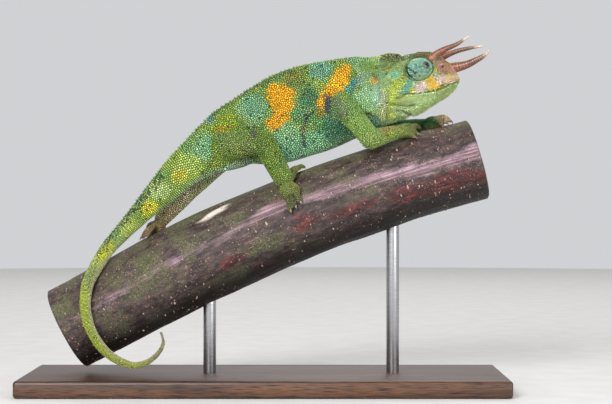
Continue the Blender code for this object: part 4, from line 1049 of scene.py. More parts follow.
MARKINGS = (
    # Turquoise and teal of the trunk
    (TRUNK, "spot", ((252, 109), (14, 15), 10), TURQUOISE, 0.75),
    (TRUNK, "spot", ((321, 70), (12, 10), -20), "#6aab94", 0.8),
    (TRUNK, "spot", ((211, 119), (5, 5), 0), "#5d9aa8", 0.7),
    (TRUNK, "spot", ((203, 148), (10, 15), 25), "#88c690", 0.8),
    (TRUNK, "spot", ((300, 148), (32, 15), -12), "#7cc29a", 0.8),
    (TRUNK, "spot", ((284, 134), (16, 12), 0), "#92cb96", 0.7),
    (TRUNK, "spot", ((309, 98), (9, 11), 20), "#317452", 0.8),
    (TRUNK, "spot", ((303, 113), (13, 11), 0), "#4c9264", 0.7),
    (TRUNK, "spot", ((336, 129), (18, 14), 15), "#1c6c58", 0.85),
    (TRUNK, "spot", ((318, 120), (9, 8), 0), "#5f9a52", 0.6),
    (TRUNK, "spot", ((315, 141), (13, 9), 0), "#84c490", 0.7),
    # Painted highlight: a pale blue-green spot over the shoulders
    (BODY, "spot", ((357, 60), (12, 4), 5), "#76ad84", 0.5),
    # Lime, yellow and olive of the back, the rump and the tail
    (TRUNK, "spot", ((295, 80), (14, 9), -20), "#768a3a", 0.8),
    (TRUNK, "spot", ((292, 76), (9, 4), -20), "#a88f35", 0.45),
    (TRUNK, "spot", ((226, 124), (17, 9), -18), "#8da722", 0.85),
    (TRUNK, "spot", ((222, 129.5), (8, 2.4), -14), "#d69a2e", 0.6),
    (TRUNK, "spot", ((216, 106), (13, 8), -35), "#5f8040", 0.6),
    (TRUNK, "spot", ((226, 150), (14, 12), 0), "#71904a", 0.6),
    (TRUNK, "spot", ((188, 170), (15, 17), 35), "#b9cf5c", 0.85),
    (TRUNK, "spot", ((179, 176), (8, 6), 0), "#d0d038", 0.8),
    (TRUNK, "spot", ((180, 174), (4, 2), 20), "#e2a53c", 0.5),
    (TRUNK, "spot", ((160, 190), (12, 9), 0), "#c3dc8c", 0.8),
    (TRUNK, "spot", ((150, 209), (9, 9), 30), YELLOW, 0.8),
    (TRUNK, "spot", ((147, 205), (4, 2), 30), "#d98f3f", 0.5),
    (TRUNK, "spot", ((130, 229), (10, 10), 30), "#c9da66", 0.8),
    (TRUNK, "spot", ((106, 252), (9, 11), 30), "#cdd432", 0.85),
    (TRUNK, "spot", ((91, 278), (8, 12), 20), "#9aa760", 0.8),
    (TRUNK, "spot", ((84, 303), (8, 18), 0), "#b9c43c", 0.85),
    (TRUNK, "line", (((88, 322), (95, 340), (106, 353)), 7), "#b4c53f", 0.85),
    (TRUNK, "line", (((106, 353), (122, 364), (140, 366), (153, 361)), 6.5), "#c6cc5e", 0.85),
    (TRUNK, "line", (((153, 361), (162, 350), (164, 338), (160, 331)), 6), "#b3ad80", 0.9),
    # Neck and chest
    (BODY, "spot", ((366, 66), (8, 5), 0), "#6f9a3f", 0.7),
    (BODY, "spot", ((368, 100), (14, 11), 10), "#a4d8a0", 0.8),
    (BODY, "spot", ((363, 105), (8, 5), 0), "#9fce7a", 0.6),
    (BODY, "spot", ((378.5, 94), (5.5, 11), 5), "#b6e6c8", 0.85),
    # Painted shade: the dark teal hollow under the chest, and the dark line in the crease between the arm and
    # the chest
    (BODY, "spot", ((371, 123), (9, 8), 0), "#4d8f86", 0.85),
    (BODY, "line", (((359, 113), (370, 115.5)), 1.8), "#23473f", 0.7),
    (BODY, "spot", ((362, 78), (9, 5), -35), "#86a894", 0.7),
    (BODY, "spot", ((375.5, 75.5), (5, 3.5), 0), "#6a6f3c", 0.7),
    (HEAD_NECK, "line", (((383.5, 94), (384, 105), (381.5, 118)), 3.2), "#e9e2ba", 0.6),
    (HEAD_NECK, "patch", (((387.5, 88), (397, 86), (398, 104), (395, 119), (388, 121)), 2),
     "#def060", 0.8),
    (BODY, "spot", ((375, 81.5), (5, 3), 10), "#f0b63c", 0.85),
    (BODY, "spot", ((320.5, 108), (4.2, 9.5), 0), "#a4862a", 0.85),
    # Blazes, bright blue and dark spots of the flank
    (BODY, "patch", (REAR_BLAZE, 1.5), ORANGE, 0.96),
    (BODY, "patch", (FRONT_BLAZE, 1.5), ORANGE, 0.96),
    (BODY, "patch", (FRONT_BLAZE[:4] + FRONT_BLAZE[9:], 1.5), "#ffc424", 0.6),
    (BODY, "spot", ((352.5, 84.5), (3, 5.5), 15), BRIGHT_BLUE, 0.85),
    (BODY, "spot", ((349, 92), (6, 3.5), -25), "#4fae9f", 0.75),
    # Painted shade in the pocket behind the upper arm
    (BODY + ARM, "spot", ((328.5, 105.5), (3.8, 9.5), -6), ARMPIT_SHADE, 0.9),
    # Painted shadow in the fold between the thigh and the body
    (TRUNK + LEG, "spot", ((253.5, 133), (3, 6.5), 12), "#4a4956", 0.85),
    # Painted shade in the crease of the flank's fold
    (TRUNK, "line", (((310, 115), (304.5, 123), (302.5, 131), (304, 146)), 1.7), "#453f5c", 0.65),
    (TRUNK, "spot", ((294, 136), (1.3, 1.3), 0), "#1f2a20", 0.8),
    (TRUNK, "line", (((196, 184), (214, 175.5), (232, 168), (246, 162)), 3.6), "#b3c9c2", 0.7),
    # The ridge of the back, darkened as painted shade where the light falls off over the top
    (TRUNK, "line", (((196, 124), (215, 107), (240, 93.5), (262, 81), (292, 67)), 4.5),
     "#45602a", 0.6),
    (TRUNK, "line", (((150, 186), (128, 214), (100, 250)), 3.2), "#7f9a72", 0.55),
    # The near arm and leg
    (ARM, "spot", ((338, 108), (10, 12), -20), "#7a8a66", 0.7),
    (ARM, "spot", ((357, 128), (12, 12), 30), "#93bd5c", 0.6),
    (ARM, "spot", ((371, 142), (16, 9), -6), "#a8c268", 0.75),
    (ARM, "line", (((384, 130), (394, 123), (408, 121.5)), 4), "#b07a58", 0.75),
    (ARM + FOOT, "spot", ((403, 132), (6, 8), 0), "#92a24e", 0.7),
    (ARM, "spot", ((392, 133), (10, 5), -12), "#a4a63c", 0.75),
    (LEG, "spot", ((247, 150), (9, 12), 0), "#96a660", 0.6),
    (LEG, "spot", ((228, 143), (10, 12), 0), "#7d9052", 0.6),
    (LEG, "spot", ((268, 168), (10, 14), -20), "#6d8f30", 0.75),
    (LEG + FOOT, "spot", ((281, 186), (13, 9), 0), "#7f9440", 0.8),
    (FOOT, "line", (((287, 201), (301, 203)), 5), "#6f6a4c", 0.7),
    # The far forearm, hand, leg and foot
    # Painted shade: the far forearm and hand in a darker green
    (("arm_far", "foot_far"), "patch", (((404, 114), (437, 117), (437, 128), (404, 128)), 2),
     "#4f9350", 0.85),
    (("foot_far",), "spot", ((447, 119), (3.5, 5), 10), "#d9c096", 0.8),
    (("leg_far",), "spot", ((170, 214), (14, 8), -45), "#c4a47c", 0.6),
    (("leg_far",), "spot", ((160, 232), (12, 6), -45), "#a3b356", 0.6),
    # The head, from the casque to the horns
    (HEAD, "patch", (((378, 61), (381, 54), (390, 51.5), (400, 52.5), (405, 58), (401, 61.5),
                           (391, 62.5)), 2), "#5e6040", 0.85),
    (HEAD_NECK, "spot", ((389, 67), (9, 5), 0), "#82a044", 0.7),
    (HEAD_NECK, "spot", ((380, 66), (6, 5), 0), "#6f8a5c", 0.6),
    (HEAD, "spot", ((401, 66), (6, 4), 0), "#a9b96a", 0.6),
    (HEAD_NECK, "spot", ((390, 70.5), (4, 2.5), -20), "#bdb73e", 0.7),
    (HEAD_NECK, "spot", ((394.5, 75.5), (5.5, 4), -25), "#78d0b8", 0.9),
    (HEAD_NECK, "spot", ((397, 85), (5.5, 5), -30), "#cad233", 0.85),
    (HEAD_NECK, "spot", ((388.5, 82), (4.5, 5), 0), "#a9c05f", 0.6),
    (HEAD, "spot", ((403.5, 79), (3, 3.5), 0), "#b9c440", 0.75),
    (HEAD, "line", (((410, 82), (406, 88), (403.5, 94)), 3.4), "#5fbfae", 0.85),
    (HEAD, "patch", (((404, 61), (407, 55.5), (415, 51), (432, 50), (446, 54), (446, 62.5),
                           (436, 61), (431, 58.5), (420, 56.8), (411, 58.6)), 1.6), BROWN, 0.85),
    (HEAD, "spot", ((430, 57.5), (5, 3.5), 30), "#b07250", 0.7),
    (HEAD, "patch", (((433, 62), (442, 59.5), (452, 60.5), (460, 66), (458, 75), (446, 76),
                           (439, 73), (436, 68)), 1.6), "#b98262", 0.85),
    (HEAD, "spot", ((441, 66), (5, 4.5), 0), "#d98f92", 0.7),
    (HEAD, "spot", ((455, 69.5), (5, 4.5), 0), "#dc9a8e", 0.75),
    (HEAD, "spot", ((434.3, 69.8), (3, 3.2), 0), "#c2cb39", 0.9),
    (HEAD, "spot", ((436.5, 75.2), (5.2, 2.8), 0), "#ced4ce", 0.9),
    (HEAD, "patch", (((431, 80), (440, 76), (450, 74), (459, 76), (459.5, 80), (450, 84),
                           (440, 88), (432, 90)), 1.5), "#f8d6b0", 0.75),
    (HEAD, "patch", (LIP_BAND, 1.2), "#ffcf3e", 0.97),
    (HEAD, "spot", ((421.3, 87.6), (6.6, 5.6), -20), PINK, 1),
    (HEAD, "spot", ((442.2, 81.4), (4.8, 3.2), -25), "#ffdcd8", 0.95),
    (HEAD, "line", (((446, 83), (453, 79.5), (459, 77.5)), 2.2), "#f8d4b2", 0.8),
    (HEAD, "spot", ((442.5, 86.6), (2.4, 1.3), -20), "#3b2622", 0.9),
    (HEAD, "spot", ((407, 99), (11.5, 4), 2), "#d4e488", 0.92),
    (HEAD, "spot", ((425, 100), (21, 7), -14), "#cff0a4", 0.8),
    (HEAD, "spot", ((444, 92), (9, 4), -35), "#c4d088", 0.7),
    (HEAD_NECK, "spot", ((408, 111), (16, 6), 0), "#d8f2a8", 0.8),
)
GAP_SHADE = 0.30              # how dark the skin is between the scales


def colour_of(hex_colour):
    return np.array(linear(hex_colour)[:3])


def laid_over(ground, hex_colour, share):
    share = np.asarray(share)[:, None]
    return ground * (1 - share) + colour_of(hex_colour) * share


def marked(known, loose=0.0, rng=None):
    """The animal's colour at known points; loose sets how far single scales stray over an edge."""
    points, count = known.points, len(known.points)
    drift = 1.3 * np.stack([cloud(points, 2.4, k) for k in (61, 62, 63)], axis=1)
    if rng is not None:
        drift = drift + rng.normal(0, 0.5, (count, 3))
    parts = Known(points + drift)
    seen = known.seen + 1.6 * np.stack([cloud(points, 2.6, 31), cloud(points, 2.6, 32)], axis=1)
    if rng is not None:
        seen = seen + rng.normal(0, loose, (count, 2))
    broad, narrow = cloud(points, 6.5, 33), cloud(points, 2.0, 34)
    colour = np.zeros((count, 3))
    for i, region in enumerate(REGIONS):
        here = parts.region == i
        first, second, third = (colour_of(c) for c in GROUND[region])
        lighter = np.clip(0.5 + 0.7 * broad[here] + 0.3 * narrow[here], 0, 1)[:, None]
        cooler = np.clip(0.25 + 0.8 * cloud(points[here], 5.0, 35), 0, 0.8)[:, None]
        tone = first * (1 - lighter) + second * lighter
        colour[here] = tone * (1 - cooler) + third * cooler
    belly = np.abs(known.turn - 0.5)
    trunk = known.of("trunk")
    tail = smoothstep(165.0, 210.0, known.along) * trunk
    colour = laid_over(colour, "#c2cf78", 0.75 * tail)
    ridge = np.minimum(known.turn, 1 - known.turn)
    back = np.exp(-(ridge / 0.03) ** 2) * known.of("trunk", "neck")
    for regions, kind, shape, paint, strength in MARKINGS:
        if kind == "spot":
            share = in_spot(seen, *shape)
        elif kind == "patch":
            share = in_patch(seen, *shape)
        else:
            share = 1 - smoothstep(0.6, 1.3, line_distance(seen, shape[0]) / shape[1])
        colour = laid_over(colour, paint, strength * share * known.of(*regions))
    # Painted shade along the ridge of the back, where the light falls off over the top
    colour = laid_over(colour, "#5c7340", 0.35 * back)
    # Painted shade in the creases of the skin's folds
    for regions, line, depth, half_width in FOLDS:
        close = np.exp(-(line_distance(known.seen, line) / (0.8 * half_width)) ** 2)
        colour = laid_over(colour, "#26361f", min(0.7 * depth, 0.6) * close * known.of(*regions))
    under = smoothstep(0.13, 0.04, belly)
    colour = laid_over(colour, "#a9d6ac", 0.5 * under * trunk * (1 - tail))
    colour = laid_over(colour, "#cfc9a4", 0.8 * smoothstep(0.2, 0.08, belly) * tail)
    shade = np.maximum(np.exp(-((eye_distance(known.head) - 1.04) / 0.07) ** 2) * known.of("head"), 0)
    colour = laid_over(colour, "#1c2420", 0.8 * shade)
    # Painted shade in the pit of the nostril
    pit = np.hypot(known.head[:, 0] - NOSTRIL_AT[0], known.head[:, 2] - NOSTRIL_AT[2])
    colour = laid_over(colour, "#2a1518", known.of("head") * smoothstep(0.85, 0.45, pit))
    return colour


# Chameleon hide: dry, thin and matt between the scales, in each marking's tone darkened as painted shade
hide, tree, shader = finish("chameleon_hide", Roughness=0.65, IOR=1.4, Specular_IOR_Level=0.25)
tone = put(tree, "Attribute", attribute_name="marking").outputs["Color"]
place = put(tree, "TexCoord").outputs["Object"]
pebble = put(tree, "TexVoronoi", {"Vector": place, "Scale": 1900.0})
# Painted shade in the valleys between the hide's fine pebbles
valley = put(tree, "ValToRGB", {"Fac": pebble.outputs["Distance"]},
             stops=((0.1, "#ffffff"), (0.7, "#8d8d8d")))
mixed = put(tree, "Mix", {0: 1.0, 6: tone, 7: valley.outputs[0]}, data_type="RGBA",
            blend_type="MULTIPLY").outputs[2]
tree.links.new(mixed, shader.inputs["Base Color"])
bump = put(tree, "Bump", {"Height": pebble.outputs["Distance"], "Strength": 0.5, "Distance": 0.0001},
           invert=True)
tree.links.new(bump.outputs[0], shader.inputs["Normal"])

FLESH = (
    "head", "jaw", "neck", "torso", "tail_base", "tail_middle", "tail_drop", "tail_curl",
    "tail_hook", "tail_tip",
    "upper_arm_right", "forearm_right", "fore_foot_right", "upper_arm_left", "forearm_left", "fore_foot_left",
    "thigh_right", "shin_right", "hind_foot_right", "thigh_left", "shin_left", "hind_foot_left",
)
skin = keep(mesh_piece("skin", skin_points, skin_faces, hide), "skin", *FLESH)
known = Known(skin_points)
# The hide is the marking's colour darkened by GAP_SHADE, as painted shade between the scales
give(skin, "marking", marked(known) * GAP_SHADE)
skin_normals = surface_normals(skin_points, skin_faces)


# The scales
# Small, low, rounded granules that cover the whole hide: a little under 1 mm on the flanks, in rings
# round the tail, and finest on the face and feet. Each is a shallow dome, with a narrow gap round it.

SCALE_CORNERS = 8
PLUMP = 0.5                   # a scale's height over its half width
NARROW_GAP = 0.045
SMOOTH_PATCH = ((405, 99.3), (11, 3.6), 2)    # very fine, even scales behind the corner of the mouth
SPECK_LINE = ((160, 178), (128, 215), (98, 252))
DARK_SHARE, DARK_ON_TAIL = 0.022, 0.36        # how many scales are dark, and how many more along the tail
TONE_SPREAD = 0.24            # how far single scales differ in tone
TAIL_ROWS = (9.4, 26.93)      # stations between which the scales lie in rings
THIN_TAIL, CHEST_RINGS = 42.0, 42     # millimetres along the ringed tail, rings of the trunk


def pitch_at(known):
    """The distance between neighbouring scales, in millimetres."""
    pitch = np.full(len(known.points), 0.95)
    pitch[known.of("neck")] = 0.82
    pitch[known.of("arm_near", "leg_near", "arm_far", "leg_far")] = 0.85
    pitch[known.of("foot_near", "foot_far")] = 0.66
    head = known.head
    on_head = known.of("head")
    face = 0.81 - 0.11 * smoothstep(8.0, 30.0, head[:, 0]) + 0.32 * smoothstep(8.0, 11.0, head[:, 2])
    pitch[on_head] = face[on_head]
    smooth = in_spot(known.seen, *SMOOTH_PATCH) * known.of("head", "neck")
    pitch *= 1 - 0.4 * smooth
    return pitch * (1 + 0.08 * cloud(known.points, 5.0, 41))


def scatter(points, faces, normals, pitch, open_skin, rng, fixed=None):
    """Places for scales spread evenly over a surface: places, directions out, pitches and sizes."""
    quads = np.array(faces)
    tris = np.concatenate([quads[:, [0, 1, 2]], quads[:, [0, 2, 3]]])
    corner = points[tris]
    area = 0.5 * np.linalg.norm(np.cross(corner[:, 1] - corner[:, 0], corner[:, 2] - corner[:, 0]), axis=1)
    weight = area / pitch[tris].mean(axis=1) ** 2 * (open_skin[tris].mean(axis=1) > 0.5)
    draws = int(weight.sum() * 11)
    chosen = rng.choice(len(tris), draws, p=weight / weight.sum())
    share = rng.random((draws, 2))
    over = share.sum(axis=1) > 1
    share[over] = 1 - share[over]
    share = np.column_stack([1 - share.sum(axis=1), share])
    at = np.einsum("ij,ijk->ik", share, points[tris[chosen]])
    out = np.einsum("ij,ijk->ik", share, normals[tris[chosen]])
    out /= np.linalg.norm(out, axis=1)[:, None]
    wanted = np.einsum("ij,ij->i", share, pitch[tris[chosen]])
    size = np.where(rng.random(draws) < 0.05, rng.uniform(1.25, 1.5, draws), rng.uniform(0.86, 1.12, draws))
    room = 0.8 * wanted * size
    cell = 1.35
    taken, grid = [], {}
    if fixed is not None:
        for i, (place, gap) in enumerate(zip(fixed[0].tolist(), fixed[2].tolist())):
            key = tuple(int(math.floor(c / cell)) for c in place)
            grid.setdefault(key, []).append((*place, 0.95 * gap))
    around = [(i, j, k) for i in (-1, 0, 1) for j in (-1, 0, 1) for k in (-1, 0, 1)]
    for n, ((x, y, z), r) in enumerate(zip(at.tolist(), room.tolist())):
        a, b, c = math.floor(x / cell), math.floor(y / cell), math.floor(z / cell)
        free = True
        for i, j, k in around:
            for px, py, pz, other in grid.get((a + i, b + j, c + k), ()):
                if (x - px) ** 2 + (y - py) ** 2 + (z - pz) ** 2 < ((r + other) / 2) ** 2:
                    free = False
                    break
            if not free:
                break
        if free:
            grid.setdefault((a, b, c), []).append((x, y, z, r))
            taken.append(n)
    taken = np.array(taken)
    place = at[taken]
    start = place if fixed is None else np.vstack([place, fixed[0]])
    tree = KDTree(len(start))
    for i, p in enumerate(start.tolist()):
        tree.insert(p, i)
    tree.balance()
    owner = np.array([tree.find(p)[1] for p in at.tolist()])
    summed, counted = np.zeros_like(start), np.bincount(owner, minlength=len(start))
    np.add.at(summed, owner, at)
    middle = summed[:len(place)] / np.maximum(counted[:len(place), None], 1)
    middle = np.where(counted[:len(place), None] > 2, middle, place)
    samples = KDTree(len(at))
    for i, p in enumerate(at.tolist()):
        samples.insert(p, i)
    samples.balance()
    snapped = np.array([samples.find(p)[1] for p in middle.tolist()])
    found = [at[snapped], out[snapped], wanted[snapped], size[taken]]
    if fixed is not None:
        found = [np.concatenate([a, b]) for a, b in zip(found, (*fixed[:3], fixed[3]))]
    return found


def domes(place, out, pitch, size, plump=PLUMP):
    """Points, and the outline of each scale, as shallow domes that share the room between them."""
    count = len(place)
    tree = KDTree(count)
    for i, p in enumerate(place.tolist()):
        tree.insert(p, i)
    tree.balance()
    close = 12
    beside = np.array([[hit[1] for hit in tree.find_n(p, close + 1)] for p in place.tolist()])[:, 1:]
    first = np.cross(out, (0.0, 1.0, 0.05))
    first /= np.maximum(np.linalg.norm(first, axis=1), 1e-9)[:, None]
    second = np.cross(out, first)
    off = place[beside] - place[:, None]
    apart = np.linalg.norm(off, axis=2)
    heading = np.arctan2(np.einsum("ijk,ik->ij", off, second), np.einsum("ijk,ik->ij", off, first))
    border = apart * size[:, None] / (size[:, None] + size[beside])
    border[np.einsum("ijk,ik->ij", out[beside], out) < 0.1] = 9.0
    angles = 2 * np.pi * np.arange(SCALE_CORNERS) / SCALE_CORNERS
    facing = np.cos(angles[None, :, None] - heading[:, None, :])
    limit = np.where(facing > 0.15, border[:, None, :] / np.maximum(facing, 0.15), 9.0)
    radius = (limit ** -7.0).sum(axis=2) ** (-1 / 7.0) - NARROW_GAP
    radius = np.clip(radius, 0.22 * pitch[:, None], 0.68 * (pitch * size)[:, None])
    flat = first[:, None] * np.cos(angles)[None, :, None] + second[:, None] * np.sin(angles)[None, :, None]
    tall = plump * radius.mean(axis=1)
    centre = place + out * tall[:, None]
    shoulder = place[:, None] + flat * (0.6 * radius)[..., None] + (out * 0.8 * tall[:, None])[:, None]
    foot = place[:, None] + flat * radius[..., None] - (out * 0.12)[:, None]
    points = np.concatenate([centre[:, None], shoulder, foot], axis=1)
    return points, radius


def scale_piece(name, points, colours, charts, material):
    """One joined piece of scales, with its colours and its unwrap."""
    count, each = points.shape[:2]
    n = SCALE_CORNERS
    ring, after = np.arange(n), (np.arange(n) + 1) % n
    caps = np.column_stack([np.zeros(n, int), 1 + ring, 1 + after])
    sides = np.column_stack([1 + ring, 1 + n + ring, 1 + n + after, 1 + after])
    pattern = np.concatenate([caps.ravel(), sides.ravel(), 1 + n + ring[::-1]])
    corners = (np.arange(count)[:, None] * each + pattern).ravel()
    counts = np.tile(np.array([3] * n + [4] * n + [n]), count)
    mesh = bpy.data.meshes.new(name)
    places = (points.reshape(-1, 3) - (0.0, 0.0, LOWERED)) * MM
    piece = fill_mesh(mesh, name, places, corners, counts, material)
    give(piece, "marking", np.repeat(colours, each, axis=0))
    give(piece, "rim", np.tile(np.array([0.0] + [0.5] * n + [1.0] * n), count))
    angles = 2 * np.pi * np.arange(n) / n
    outline = np.column_stack([np.cos(angles), np.sin(angles)])
    local = np.vstack([(0.0, 0.0), outline * 0.0009, outline * 0.0015])
    flat = (charts[:, None] + local[None]).reshape(-1, 2)
    layer = mesh.uv_layers.new(name="OFBake")
    layer.data.foreach_set("uv", flat[corners].astype(np.float32).ravel())
    return keep(piece, "skin")


rng = np.random.default_rng(7)
mouth_line = line_distance(known.head[:, [0, 2]], MOUTH)
in_mouth = known.of("head") & (known.head[:, 0] > 10.0) & (mouth_line < 0.5)
nostril = np.hypot(known.head[:, 0] - NOSTRIL_AT[0], known.head[:, 2] - NOSTRIL_AT[2])
in_eye = (eye_distance(known.head) < 0.93) & (known.head[:, 1] > 2.0)
in_pit = known.of("head") & ((nostril < 0.75) | in_eye)
open_skin = (~(in_mouth | in_pit)).astype(float)

vertex_tree = KDTree(len(skin_points))
for i, p in enumerate(skin_points.tolist()):
    vertex_tree.insert(p, i)
vertex_tree.balance()


def onto_skin(points, reach):
    """Points brought onto the skin, with its directions out, and which of them lie within reach of it."""
    hits = [vertex_tree.find(p) for p in np.asarray(points).tolist()]
    index = np.array([hit[1] for hit in hits])
    out = skin_normals[index]
    off = np.einsum("ij,ij->i", points - skin_points[index], out)
    return points - out * off[:, None], out, np.array([hit[2] for hit in hits]) < reach


# Rings of scales round the tail
TRUNK_FIRST = HEAD_RINGS + NECK_RINGS
tail_start = body_along[TRUNK_FIRST + int(TAIL_ROWS[0] / (len(SPINE) - 1) * (TRUNK_RINGS - 1))]
rows = []
t, n = TAIL_ROWS[0], 0
while t < TAIL_ROWS[1]:
    width, height = spline([s[3:] for s in SPINE], t)
    row_pitch = 0.48 + 0.58 * float(smoothstep(0.3, 7.0, (width + height) / 2))
    girth = np.pi * (width + height)
    in_row = max(round(girth / (row_pitch * 1.02)), 5)
    turns = (np.arange(in_row) + 0.5 * (n % 2)) / in_row
    fine_ring = section(t, 4 * in_row)
    picked = fine_ring[(np.round(turns * 4 * in_row).astype(int)) % (4 * in_row)]
    rows.append((picked, np.full(in_row, row_pitch)))
    here, there = spline(AXIS, t), spline(AXIS, t + 0.02)
    t += row_pitch * 0.92 * 0.02 / np.linalg.norm(there - here)
    n += 1
tail_place, tail_out, on_tail = onto_skin(np.vstack([r[0] for r in rows]), 0.8)
tail_pitch = np.concatenate([r[1] for r in rows])
tail_known = Known(tail_place)
on_tail &= tail_known.of("trunk")
# A row of longer scales along each lip
for above, side in ((0.95, 1), (0.95, -1), (-0.95, 1), (-0.95, -1)):
    fs = np.arange(11.0, 34.0, 0.98)
    us = np.interp(fs, [p[0] for p in MOUTH], [p[1] for p in MOUTH]) + above
    widths = []
    for f, u in zip(fs, us):
        ring = in_head(head_ring(f))
        right = ring[np.sign(ring[:, 1]) == side]
        widths.append(right[np.argmin(np.abs(right[:, 2] - u)), 1])
    lip_place, lip_out, on_lip = onto_skin(head_point(np.column_stack([fs, widths, us])), 1.2)
    tail_place, tail_out = np.vstack([tail_place, lip_place]), np.vstack([tail_out, lip_out])
    tail_pitch = np.concatenate([tail_pitch, np.full(len(fs), 0.9)])
    on_tail = np.concatenate([on_tail, on_lip])
fixed = (tail_place[on_tail], tail_out[on_tail], tail_pitch[on_tail], np.ones(on_tail.sum()))
where_free = open_skin * ~(known.of("trunk") & (known.along > tail_start))
place, out, pitch, size = scatter(skin_points, skin_faces, skin_normals, pitch_at(known),
                                  where_free, rng, fixed)
scale_known = Known(place)
colour = marked(scale_known, 1.3, rng)
even = in_spot(scale_known.seen, *SMOOTH_PATCH) * scale_known.of("head", "neck")
spread = rng.normal(0.0, TONE_SPREAD, len(place)) * (1 - 0.8 * even)
colour *= np.exp(spread)[:, None]
lean = rng.uniform(-1, 1, len(place))
dull = colour[:, 2] > 0.12 * colour[:, 0]
colour = laid_over(colour, "#dfe05e", 0.2 * np.maximum(lean, 0) * dull)
colour = laid_over(colour, "#4aa392", 0.16 * np.maximum(-lean, 0) * dull)
# Single dark scales, most along the top of the tail and a few in the blazes
speck_line = line_distance(scale_known.seen, SPECK_LINE)
chance = DARK_ON_TAIL * np.exp(-(speck_line / 4.5) ** 2) * scale_known.of("trunk") + DARK_SHARE
chance *= 1 - 0.8 * scale_known.of("head")
dark_scale = rng.random(len(place)) < chance
colour[dark_scale] *= 0.16

# Keratin scales: thin and smooth, a soft satin sheen, paler in the middle and darkened by painted shade in
# the gaps
granule, tree, shader = finish("chameleon_scales", Roughness=0.5, IOR=1.45, Specular_IOR_Level=0.28)
tone = put(tree, "Attribute", attribute_name="marking").outputs["Color"]
rim = put(tree, "Attribute", attribute_name="rim").outputs["Fac"]
# Painted shade: each scale darkens towards its foot, where shade falls between the scales
edge = put(tree, "ValToRGB", {"Fac": rim},
           stops=((0.0, "#ffffff"), (0.5, "#f4f4f4"), (0.8, "#b4b4b4"), (1.0, "#484848")))
step = put(tree, "Mix", {0: 1.0, 6: tone, 7: edge.outputs[0]}, data_type="RGBA",
           blend_type="MULTIPLY").outputs[2]
place_node = put(tree, "TexCoord").outputs["Object"]
grainy = put(tree, "TexNoise", {"Vector": place_node, "Scale": 2600.0, "Detail": 2.0})
mottle = put(tree, "ValToRGB", {"Fac": grainy.outputs[0]}, stops=((0.3, "#c9c9c9"), (0.65, "#ffffff")))
step = put(tree, "Mix", {0: 1.0, 6: step, 7: mottle.outputs[0]}, data_type="RGBA",
           blend_type="MULTIPLY").outputs[2]
tree.links.new(step, shader.inputs["Base Color"])
rough = put(tree, "MapRange", {0: grainy.outputs[0], 3: 0.38, 4: 0.56}).outputs[0]
tree.links.new(rough, shader.inputs["Roughness"])
bump = put(tree, "Bump", {"Height": grainy.outputs[0], "Strength": 0.2, "Distance": 0.00008})
tree.links.new(bump.outputs[0], shader.inputs["Normal"])

dome_points, _ = domes(place, out, pitch, size)
groups = {
    "head_scales": scale_known.of("head"),
    "neck_scales": scale_known.of("neck"),
    "chest_scales": scale_known.of("trunk") & (scale_known.along < body_along[TRUNK_FIRST + CHEST_RINGS]),
    "flank_scales": scale_known.of("trunk") & (scale_known.along >= body_along[TRUNK_FIRST + CHEST_RINGS])
    & (scale_known.along < tail_start),
    "tail_scales_thick": scale_known.of("trunk") & (scale_known.along >= tail_start)
    & (scale_known.along < tail_start + THIN_TAIL),
    "tail_scales_thin": scale_known.of("trunk") & (scale_known.along >= tail_start + THIN_TAIL),
    "arm_scales": scale_known.of("arm_near", "arm_far"),
    "leg_scales": scale_known.of("leg_near", "leg_far"),
    "foot_scales": scale_known.of("foot_near", "foot_far"),
}
for name, members in groups.items():
    along, turn = scale_known.along[members], scale_known.turn[members]
    strips = scale_known.region[members].astype(float)
    strip_list = sorted(set(strips))
    row = np.searchsorted(strip_list, strips)
    u = 0.01 + 0.98 * (along - along.min()) / max(np.ptp(along), 1e-6)
    v = (row + 0.02 + 0.96 * turn) / len(strip_list)
    scale_piece(name, dome_points[members], colour[members], np.column_stack([u, v]), granule)


# The crest
# A low row of conical scales along the middle of the back, the largest over the shoulders and the
# smallest on the tail.

CREST_FIRST, CREST_LAST, CREST_PITCH = 0.15, 15.2, 1.75
cones, cone_places = [], []
t, n = CREST_FIRST, 0
while t < CREST_LAST:
    fade = min(1.0, 0.45 + (CREST_LAST - t) / 8)
    rise = 0.95 * fade * (1.0, 0.72, 0.88)[n % 3]
    radius = 0.72 * min(1.0, 0.6 + (CREST_LAST - t) / 12)
    root, centre, ahead = section(t)[0], spline(AXIS, t), slope(AXIS, t)
    out_way = (root - centre) / np.linalg.norm(root - centre)
    side = np.cross(out_way, ahead)
    lean = 0.25 * math.sin(2.4 * n)
    rings = []
    for share, wide in ((-0.5, 1.05), (0.0, 1.0), (0.35, 0.8), (0.7, 0.48), (0.93, 0.2)):
        a = 2 * np.pi * np.arange(10)[:, None] / 10
        middle = (root + out_way * (rise * share - 0.25) + ahead * 0.35 * max(share, 0)
                  + side * lean * 0.4 * max(share, 0))
        rings.append(middle + radius * wide * (ahead * np.cos(a) + side * 0.8 * np.sin(a)))
    tip = root + out_way * (rise - 0.25) + ahead * 0.38 + side * lean * 0.4
    cones.append(skin_rings(np.array(rings), None, tip))
    cone_places.append(root)
    here, there = spline(AXIS, t), spline(AXIS, t + 0.02)
    t += CREST_PITCH * (0.88 if n % 3 else 1.1) * 0.02 / np.linalg.norm(there - here)
    n += 1
shift = np.cumsum([0] + [len(v) for v, _ in cones])
vertices = np.vstack([v for v, _ in cones])
faces = [[c + s for c in face] for (_, group), s in zip(cones, shift) for face in group]
crest = keep(mesh_piece("crest", vertices, faces, granule), "skin")
crest_colour = marked(Known(vertices))
give(crest, "marking", laid_over(crest_colour, "#a9b489", 0.3 * np.ones(len(vertices))))
